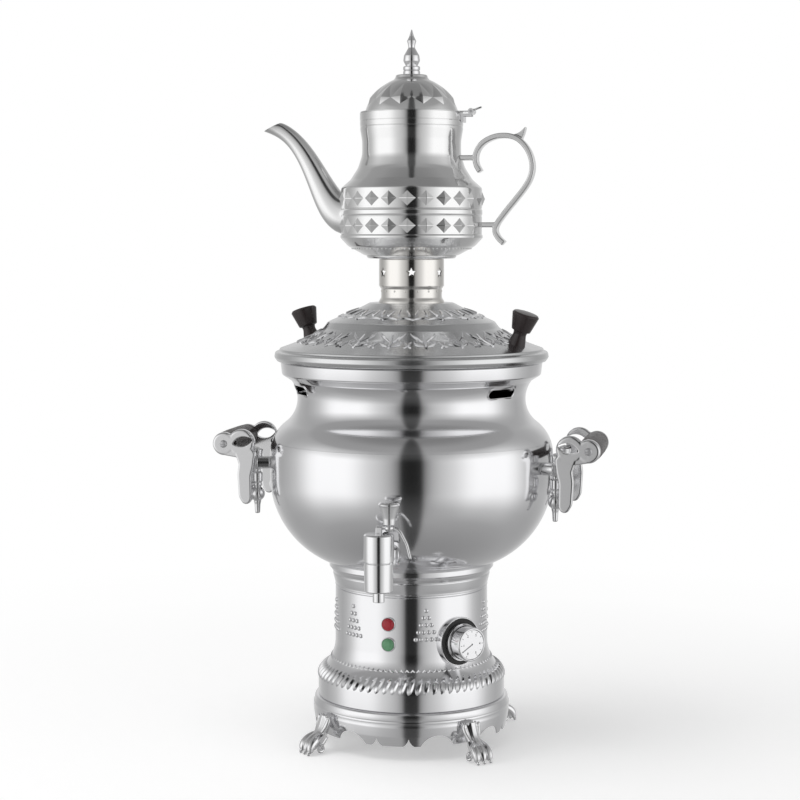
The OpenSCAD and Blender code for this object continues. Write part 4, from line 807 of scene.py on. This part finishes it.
parts = []
for disc, x, z in ((11, grip_x, grip_z), (13, 156.4, 286.7)):
    parts.append(put(turned("disc", rounded([(0, 37.8), (disc, 37.8, 1), (disc, 44.8, 2.4),
        (0, 44.8)]), 64), shift(x, 0, z) @ tilt("X", 90)))
web = [(0, -10.8), (0, 9.6), (-10, 9.6), (-17, 11), (-26, -9), (-14, -13)]
parts.append(plate("web", by_grip(web[::-1]), -44.6, -37.8, 1))
drop = rounded([(-28, -4), (-11, -8), (-14.6, -19, 3), (-13.4, -29, 7), (-14.6, -50, 10),
    (-21.2, -61.5, 5), (-27.2, -53, 8), (-27, -30, 14), (-29.4, -20, 6), (-31, -8, 5), (-28.5, -5)])
parts.append(plate("drop", by_grip(drop[::-1]), -44.8, -37.8, 2.2))
post = [(0, -66.5), (2.4, -66.5, 1), (2.9, -57.5, 3), (3.6, -55)] + arc((0, -47.6), 7.2, -62, 62, 10)
post += [(3.4, -40.6, .4), (4.5, -40, .5), (4.5, -37.6, .5), (3.5, -37, .4), (5.3, -36, .8),
    (5.3, -27.6, .8), (3.4, -26.4, .8), (3.4, -23.5, 3), (5.2, -9, 12), (5.9, -4.5, 2), (0, -2.5)]
parts.append(put(turned("baluster", rounded(post), 48), shift(142.5, -36, grip_z)))
parts.append(spoke("boss", handle_screw, handle_screw_z, 6, 135.1, 147.5))
cheek = fused(joined("cheek", *parts), .45, 3)
leaf_eye = arc((-20.5, -5), 12.5, 23.9, 131.4, 8) + arc((-17, 11), 13.5, -150.6, -54.05, 8)[1:-1]
eye = plate("eye", by_grip(leaf_eye), -50, -30)
hole = put(rod("hole", 3.05, 30, 50), shift(grip_x, 0, grip_z) @ tilt("X", 90))
screw = spoke("screw", handle_screw, handle_screw_z, 2.55, 130, 146)
form = turned("form", ring(arc(belly_at, 89.06, -60, 0, 2) + arc(shoulder_at, 38.06, 0, 52)
    + [(60, 305.7), (60, 178.9)]), 256)
cheek = cut(fused(cut(cheek, eye), .4, 3), form, hole, screw)
for node, x, y in (("right_front_cheek", 1, 1), ("right_back_cheek", 1, -1), ("left_front_cheek", -1, 1),
        ("left_back_cheek", -1, -1)):
    twin = mirrored(cheek, x, y)
    twin.name = node + "_cast"
    stand_for(twin, node)
bpy.data.objects.remove(cheek)

# ---------------------------------------------------------------- lid
# The lid is spun like the tank, with a rolled rim and a ring below that drops into the mouth. A band of
# leaves round the rim and a band of fans round the chimney are pressed up; between them it is brushed.


def lid_z(r):
    """Height of the lid's upper side at a radius, between the points of its profile."""
    for a, b in zip(lid_path, lid_path[1:]):
        if a[1] > 376 and b[0] <= r <= a[0]:
            return a[1] + (b[1] - a[1]) * (a[0] - r) / max(a[0] - b[0], 1e-6)
    return lid_path[-1][1]


def on_lid(name, spots, radii):
    """A pressed-up line on the lid: points (radius, degrees aside) and half widths."""
    return limb(name, [(r * math.cos(math.radians(a)), r * math.sin(math.radians(a)), lid_z(r) + .1)
        for r, a in spots], radii, 2, 3, 3)


lid_path = rounded([(119.5, 364.3), (127.5, 364.5, 2), (130.2, 368.4, 2.4), (129.4, 373.2, 2.2),
    (125.6, 374.4, .8), (125.0, 376.4, 1.2), (97.2, 386.5, 40), (83.2, 396, 5), (79.2, 401.5, 4),
    (59.2, 410.5, 2.5), (51.2, 413.5, 2.5), (39.8, 419.5, 4), (28, 419.5)], 4)
metal("lid_steel", (.74, .745, .75), .17, wave=.00006, rings=.0000012, smear=.08)
lid = turned("lid_spun", ring(sheet(lid_path, 1)), 256)
locating = turned("locating_ring", ring(rounded([(117.3, 353), (118.3, 353, .4), (118.3, 365.0),
    (117.3, 365.0)])), 256)
stand_for(joined("lid_spun", lid, locating), "lid", finish="lid_steel")
motif = [on_lid("stem", [(109, 0), (103, .4), (96, -.4), (88, 0)], [1.0, 1.5, 1.5, .8])]
for s in (-1, 1):
    motif.append(on_lid("leaf", [(106, s), (103, s * 4.2), (98, s * 5.6), (94, s * 3.4)],
        [.6, 1.6, 1.7, .7]))
    motif.append(on_lid("leaf", [(97, s * .8), (93, s * 3.4), (89, s * 6.4), (86, s * 7.6)],
        [.6, 1.4, 1.4, .6]))
    motif.append(on_lid("bud", [(108.5, s * 7.5), (105, s * 9.4), (101, s * 9.6), (97.5, s * 10.8)],
        [.9, 1.3, 1.2, .6]))
leaves = repeated(joined("leaf", *motif), "lid_leaves", [turn(i * 18) for i in range(20)])
trim(leaves, "lid", "tank_steel")
motif = [on_lid("fan", [(62, a * 1.15), (57, a), (51, a * .8)], [1.2, 1.5, .7]) for a in (-8, 0, 8)]
for s in (-1, 1):
    motif.append(on_lid("bow", [(70, s * 13), (67, s * 9), (66, s * 4), (69, 0)], [.7, 1.2, 1.2, .6]))
fans = repeated(joined("fan", *motif), "lid_fans", [turn(i * 24) for i in range(15)])
trim(fans, "lid", "tank_steel")

# ---------------------------------------------------------------- lid knobs
# Two black moulded knobs stand on the rim of the lid, leaning out with it, each with a screw from below.
as_built("lid_knob_screws")
for side, node in ((-1, "lid_knob_left"), (1, "lid_knob_right")):
    knob = turned(node + "_moulded", rounded([(0, -.8), (8.4, -.8), (7.9, 2, 2), (6.0, 10, 5),
        (6.5, 12.6, .6), (8.9, 13.6, 1.2), (12.0, 26, 8), (12.7, 28.8, .8), (11.4, 30.6, 1.2),
        (0, 31.4)]), 96)
    stand_for(put(knob, turn(90 * side - 16) @ shift(109, 0, 382.55) @ tilt("Y", 18.49)), node)

# ---------------------------------------------------------------- crown
# A spun chimney collar carries the teapot over the steam. Six stars are punched through it.
metal("crown_steel", (.81, .81, .795), .08, wave=.00005, rings=.0000006)
as_built("crown_ring")
crown = turned("crown_spun", ring(sheet(rounded([(31.2, 419.55), (31.2, 420.5), (28.8, 424.5, 4),
    (28.8, 432.5, 1.5), (30.8, 435.5, 1.5), (30.8, 461, 1.2), (27.8, 461)]), .8)), 192)
star_r, star_waist, star_z = 5.3, .43, 448
star = []
for k in range(10):
    r, around = star_r * (1 if k % 2 == 0 else star_waist), math.radians(36 * k)
    star.append((r * math.sin(around), star_z + r * math.cos(around)))
stand_for(cut(crown, *[put(plate("star", star, -36, -25), turn(10.4 + i * 60) @ tilt("Z", 90))
    for i in range(6)]), "crown")
pearls = repeated(ball("pearl", (29.0, 0, 430.6), (.6, .9, .9), 10), "crown_pearls",
    [turn(i * 22.5) for i in range(16)])
trim(pearls, "crown", "crown_steel")

# ---------------------------------------------------------------- teapot body
# The teapot is spun from one disc. Two rows of four-sided diamonds are pressed out of its band, with a
# round moulding between them, and a rose of small holes strains the tea at the spout.
metal("teapot_steel", (.82, .825, .83), .08, wave=.00006, rings=.0000006)
seat = 461.3                                    # where the teapot stands on the crown
pot_path = [(r, z + seat) for r, z in rounded([(0, 2.7), (44, 2.7, 6), (60, 11.5, 10), (65.7, 17.6, 1),
    (67.3, 19.4, .8), (67.3, 21.4, .8), (66.5, 22.6), (66.5, 39.2), (65.9, 39.9), (66.5, 40.5),
    (66.9, 41.6, .8), (66.9, 44.8, .8), (66.5, 45.9), (65.9, 46.5), (66.5, 47.2), (66.5, 66, 3),
    (57.5, 74, 8), (50.5, 85, 20), (46.6, 97, 25), (46.6, 110, 25), (48.4, 120.8, 4), (48.4, 122.8),
    (48.0, 123.3), (48.5, 123.8), (48.6, 128.2), (48.1, 128.7), (48.7, 129.2), (48.7, 136)])]
pot = turned("teapot_body_spun", sheet(pot_path, .8), 256)
sieve = rod("sieve", 1.6, 60, 70, 16)
spots = []
for row in range(-2, 3):
    for i in range(4 - abs(row) % 2):
        spots.append(Matrix.Rotation(math.pi, 4, "Z") @ shift(0, (i - 1.5 + abs(row) % 2 / 2) * 5,
            502.3 + row * 5) @ tilt("Y", 90))
stand_for(cut(pot, repeated(sieve, "sieve", spots)), "teapot_body")
clear_selection()
gem_high = 3.5
bpy.ops.mesh.primitive_cone_add(vertices=4, radius1=1, radius2=0, depth=1,
    location=(0, 0, gem_high / 2 * MM))
gem = bpy.context.object
gem.scale = (8.6 * MM, 8.3 * MM, gem_high * MM)
finish_mesh(gem, "gem", 12)
bpy.ops.object.mode_set(mode="EDIT")
bpy.ops.mesh.select_all(action="SELECT")
bpy.ops.mesh.bevel(offset=.28 * MM, segments=2)
bpy.ops.object.mode_set(mode="OBJECT")
gem = finish_mesh(put(gem, shift(65.85, 0, 0) @ tilt("Y", 90)), "gem", 12)
spots = []                                      # none under the spout or the handle's foot
for z in (491.9, 517.0):
    for i in range(24):
        angle = (i + .5) * 15
        if abs(angle - 180) > 16.1 and (z > 500 or 12.2 < angle < 347.8):
            spots.append(tilt("Z", angle) @ shift(0, 0, z))
gems = repeated(gem, "teapot_gems", spots)
trim(finish_mesh(gems, "teapot_gems", 12), "teapot_body", "teapot_steel")
dots = repeated(ball("dot", (56.2, 0, 470.5), (.7, .8, .7), 8), "teapot_dots",
    [tilt("Z", i * 4.5) for i in range(80)])
trim(dots, "teapot_body", "teapot_steel")
stand_for(joined("teapot_base_turned", turned("plate", rounded([(0, 461.3), (41, 461.3, 1.2),
    (43, 463.6, .6), (42, 464.0), (0, 464.0)]), 192), turned("ring", ring(rounded([(26.1, 456.3),
    (27.1, 456.3, .3), (27.1, 462.0), (26.1, 462.0)])), 128)), "teapot_base")

# ---------------------------------------------------------------- spout
# Two pressed half shells welded along the middle make the spout. It is high and flat where it leaves
# the belly, and narrows in a swan's neck to a slanted lip.


def draped(name, across, along, place):
    """A net of faces across and along whose points go to place(u, v), closed where its sides meet."""
    clear_selection()
    bpy.ops.mesh.primitive_grid_add(x_subdivisions=across, y_subdivisions=along, size=2)
    piece = bpy.context.object
    for point in piece.data.vertices:
        point.co = Vector(place((point.co.x + 1) / 2, (point.co.y + 1) / 2)) * MM
    close_up(2e-6)
    return finish_mesh(piece, name)


def spout_skin(u, v):
    """Outer skin from belly to lip for v up to a half, then the lining back to the belly."""
    line = [Vector(p) for p in ((64, 502.3), (88, 508.3), (95, 574.3), (135, 585.8))]
    k = round(v * 66)
    inset = .9 if 33 < k < 66 else 0
    t = min(k / 32, 1) if k < 34 else max(0, (65 - k) / 31)
    s = 1 - t
    spot = s ** 3 * line[0] + 3 * s * s * t * line[1] + 3 * s * t * t * line[2] + t ** 3 * line[3]
    way = s * s * (line[1] - line[0]) + 2 * s * t * (line[2] - line[1]) + t * t * (line[3] - line[2])
    slope = math.degrees(math.atan2(way.y, way.x))
    lip = (64 - slope) * ((t - .8) / .2) ** 2 if t > .8 else 0
    lean = math.radians(slope + lip) if t else 0
    tall = (7.2 + 11.3 * s ** 1.7 - inset) / math.cos(math.radians(lip * .8))
    wide = 6.6 + 6.4 * s ** 1.5 - inset + (.35 if t > .97 and not inset else 0)
    b = u * 2 * math.pi
    sharp = 2 / 2.3
    up = tall * math.copysign(abs(math.cos(b)) ** sharp, math.cos(b))
    y = wide * math.copysign(abs(math.sin(b)) ** sharp, math.sin(b))
    x = math.sqrt(66.5 ** 2 - y * y) if t == 0 else max(spot.x - up * math.sin(lean), 0)
    return (-x, y, spot.y + up * math.cos(lean))


stand_for(draped("spout_pressed", 48, 66, spout_skin), "spout")

# ---------------------------------------------------------------- teapot handle
# A cast strip bent to a loop is brazed to the teapot by two short stubs. Its upper end has a small leaf
# for the thumb, and its lower end curls out.


def bent(spots, steps=6):
    """A smooth line that passes through every spot."""
    ends = [spots[0]] + list(spots) + [spots[-1]]
    line = []
    for a, b, c, d in zip(ends, ends[1:], ends[2:], ends[3:]):
        a, b, c, d = Vector(a), Vector(b), Vector(c), Vector(d)
        for i in range(steps):
            t = i / steps
            line.append(tuple(.5 * (2 * b + (c - a) * t + (2 * a - 5 * b + 4 * c - d) * t * t
                + (3 * b - a - 3 * c + d) * t ** 3)))
    return line + [tuple(spots[-1])]


def strip(name, line, thick):
    outline = moved_left(line, thick / 2) + moved_left(line, -thick / 2)[::-1]
    return plate(name, outline, -6.5, 6.5, 1.2)


loop = [(66, 81), (62.6, 87), (61.4, 94), (63.4, 101.5), (68.2, 107.6), (75.5, 112), (84, 114.2),
    (94, 113.8), (102.6, 110), (109.6, 102.5), (113.8, 93.3), (115, 84), (113, 75), (108.2, 66.3),
    (99, 54.5), (90, 43.5), (82.4, 33), (80.4, 26), (83.2, 19.5), (88.6, 14.2)]
parts = [strip("loop", bent(loop), 4.8), strip("stub", [(46.2, 94), (62, 94)], 4.8),
    strip("stub", [(66.0, 31.5), (82, 31.5)], 4.8),
    plate("thumb", bent([(90, 114.5), (99, 115.6), (104, 118), (108.5, 122), (107.6, 116.5),
    (105, 110)]), -5.5, 5.5, .6)]
handle = put(fused(joined("teapot_handle_cast", *parts), .5, 2), shift(0, 0, seat), 60)
stand_for(handle, "teapot_handle")

# ---------------------------------------------------------------- teapot lid
# A dome with twelve pressed kites, hinged to the rim above the handle. Its leaf turns between the two
# outer knuckles of the hinge, and a turned finial is screwed to its top.


dome_z, dome_r = 586.1, 45.6                    # centre and radius of the dome


def dome_point(angle, z, lift):
    """A point over the dome: degrees round it, its height, and how far it stands proud."""
    r = math.sqrt(dome_r ** 2 - (z - dome_z) ** 2) * (dome_r + lift) / dome_r
    around = math.radians(angle)
    return (r * math.cos(around), r * math.sin(around), dome_z + (z - dome_z) * (dome_r + lift) / dome_r)


def kite(u, v):
    """A flat-sided pyramid on the dome, pointed above and blunt below."""
    z = 603.5 + 20.5 * v
    full = (624 - z) / 14 if z > 610 else (z - 603.5) / 6.5
    k = round(u * 10)
    side = 0 if k == 9 else -1 if k == 10 else k / 4 - 1
    lift = -.5 if k == 9 else 1.75 * (1 - abs(side))
    out = math.sqrt(dome_r ** 2 - (z - dome_z) ** 2)
    return dome_point(math.degrees(side * 10.1 * full / out), z, lift * full - .05)


dome = turned("teapot_lid_spun", ring(sheet([(48.0, 597.8), (48.0, 598.4)]
    + arc((0, dome_z), dome_r, 16.4, 68.1) + rounded([(17, 628.4), (15.4, 630.4, 1.2), (14.6, 633, 1.2),
    (2.55, 633)])[1:], .8)), 192)
rim = turned("rim", ring(rounded([(46.2, 593.6), (47.2, 593.6, .3), (47.2, 597.6), (48.4, 597.6, .4),
    (48.4, 598.6, .4), (43.5, 598.6), (43.5, 597.8), (46.2, 597.8)])), 192)
at_hinge = shift(57.5, 0, 598.3) @ tilt("X", 90)
leaf = weld(put(rod("knuckle", 2.8, -2.7, 2.7, 40), at_hinge),
    plate("leaf", [(45.7, 597.75), (57.5, 597.75), (57.5, 599.2), (45.7, 599.2)], -2.3, 2.3, .3),
    plate("thumb", rounded([(56.5, 599.1), (60.5, 599.3, 2), (66.8, 601.6), (66.5, 603.0), (60, 600.9, 2),
    (56.5, 600.6)]), -2.3, 2.3, .3))
leaf = cut(leaf, put(rod("pin", 1.25, -9, 9, 32), at_hinge))
stand_for(joined("teapot_lid_spun", dome, rim, leaf), "teapot_lid")
kites = repeated(draped("kite", 10, 41, kite), "lid_kites", [turn(26 + i * 30) for i in range(12)])
trim(finish_mesh(kites, "lid_kites", 8), "teapot_lid", "teapot_steel")

as_built("teapot_hinge", "hinge_pin")
stand_for(put(turned("finial_turned", rounded([(0, -7.5), (2.45, -7.5), (2.45, 0), (8, 0, .8),
    (8, 3.4, .8), (7.2, 4), (8, 4.6, .8), (8, 7.8, 1.2), (5.6, 8.6), (7.9, 13, 3), (7.3, 18, 3),
    (3, 25.5, 2.5), (3.5, 28.5), (4.4, 31.5, 1.5), (2.2, 36, 2), (.5, 42), (0, 42.2)]), 96),
    shift(0, 0, 633)), "finial")
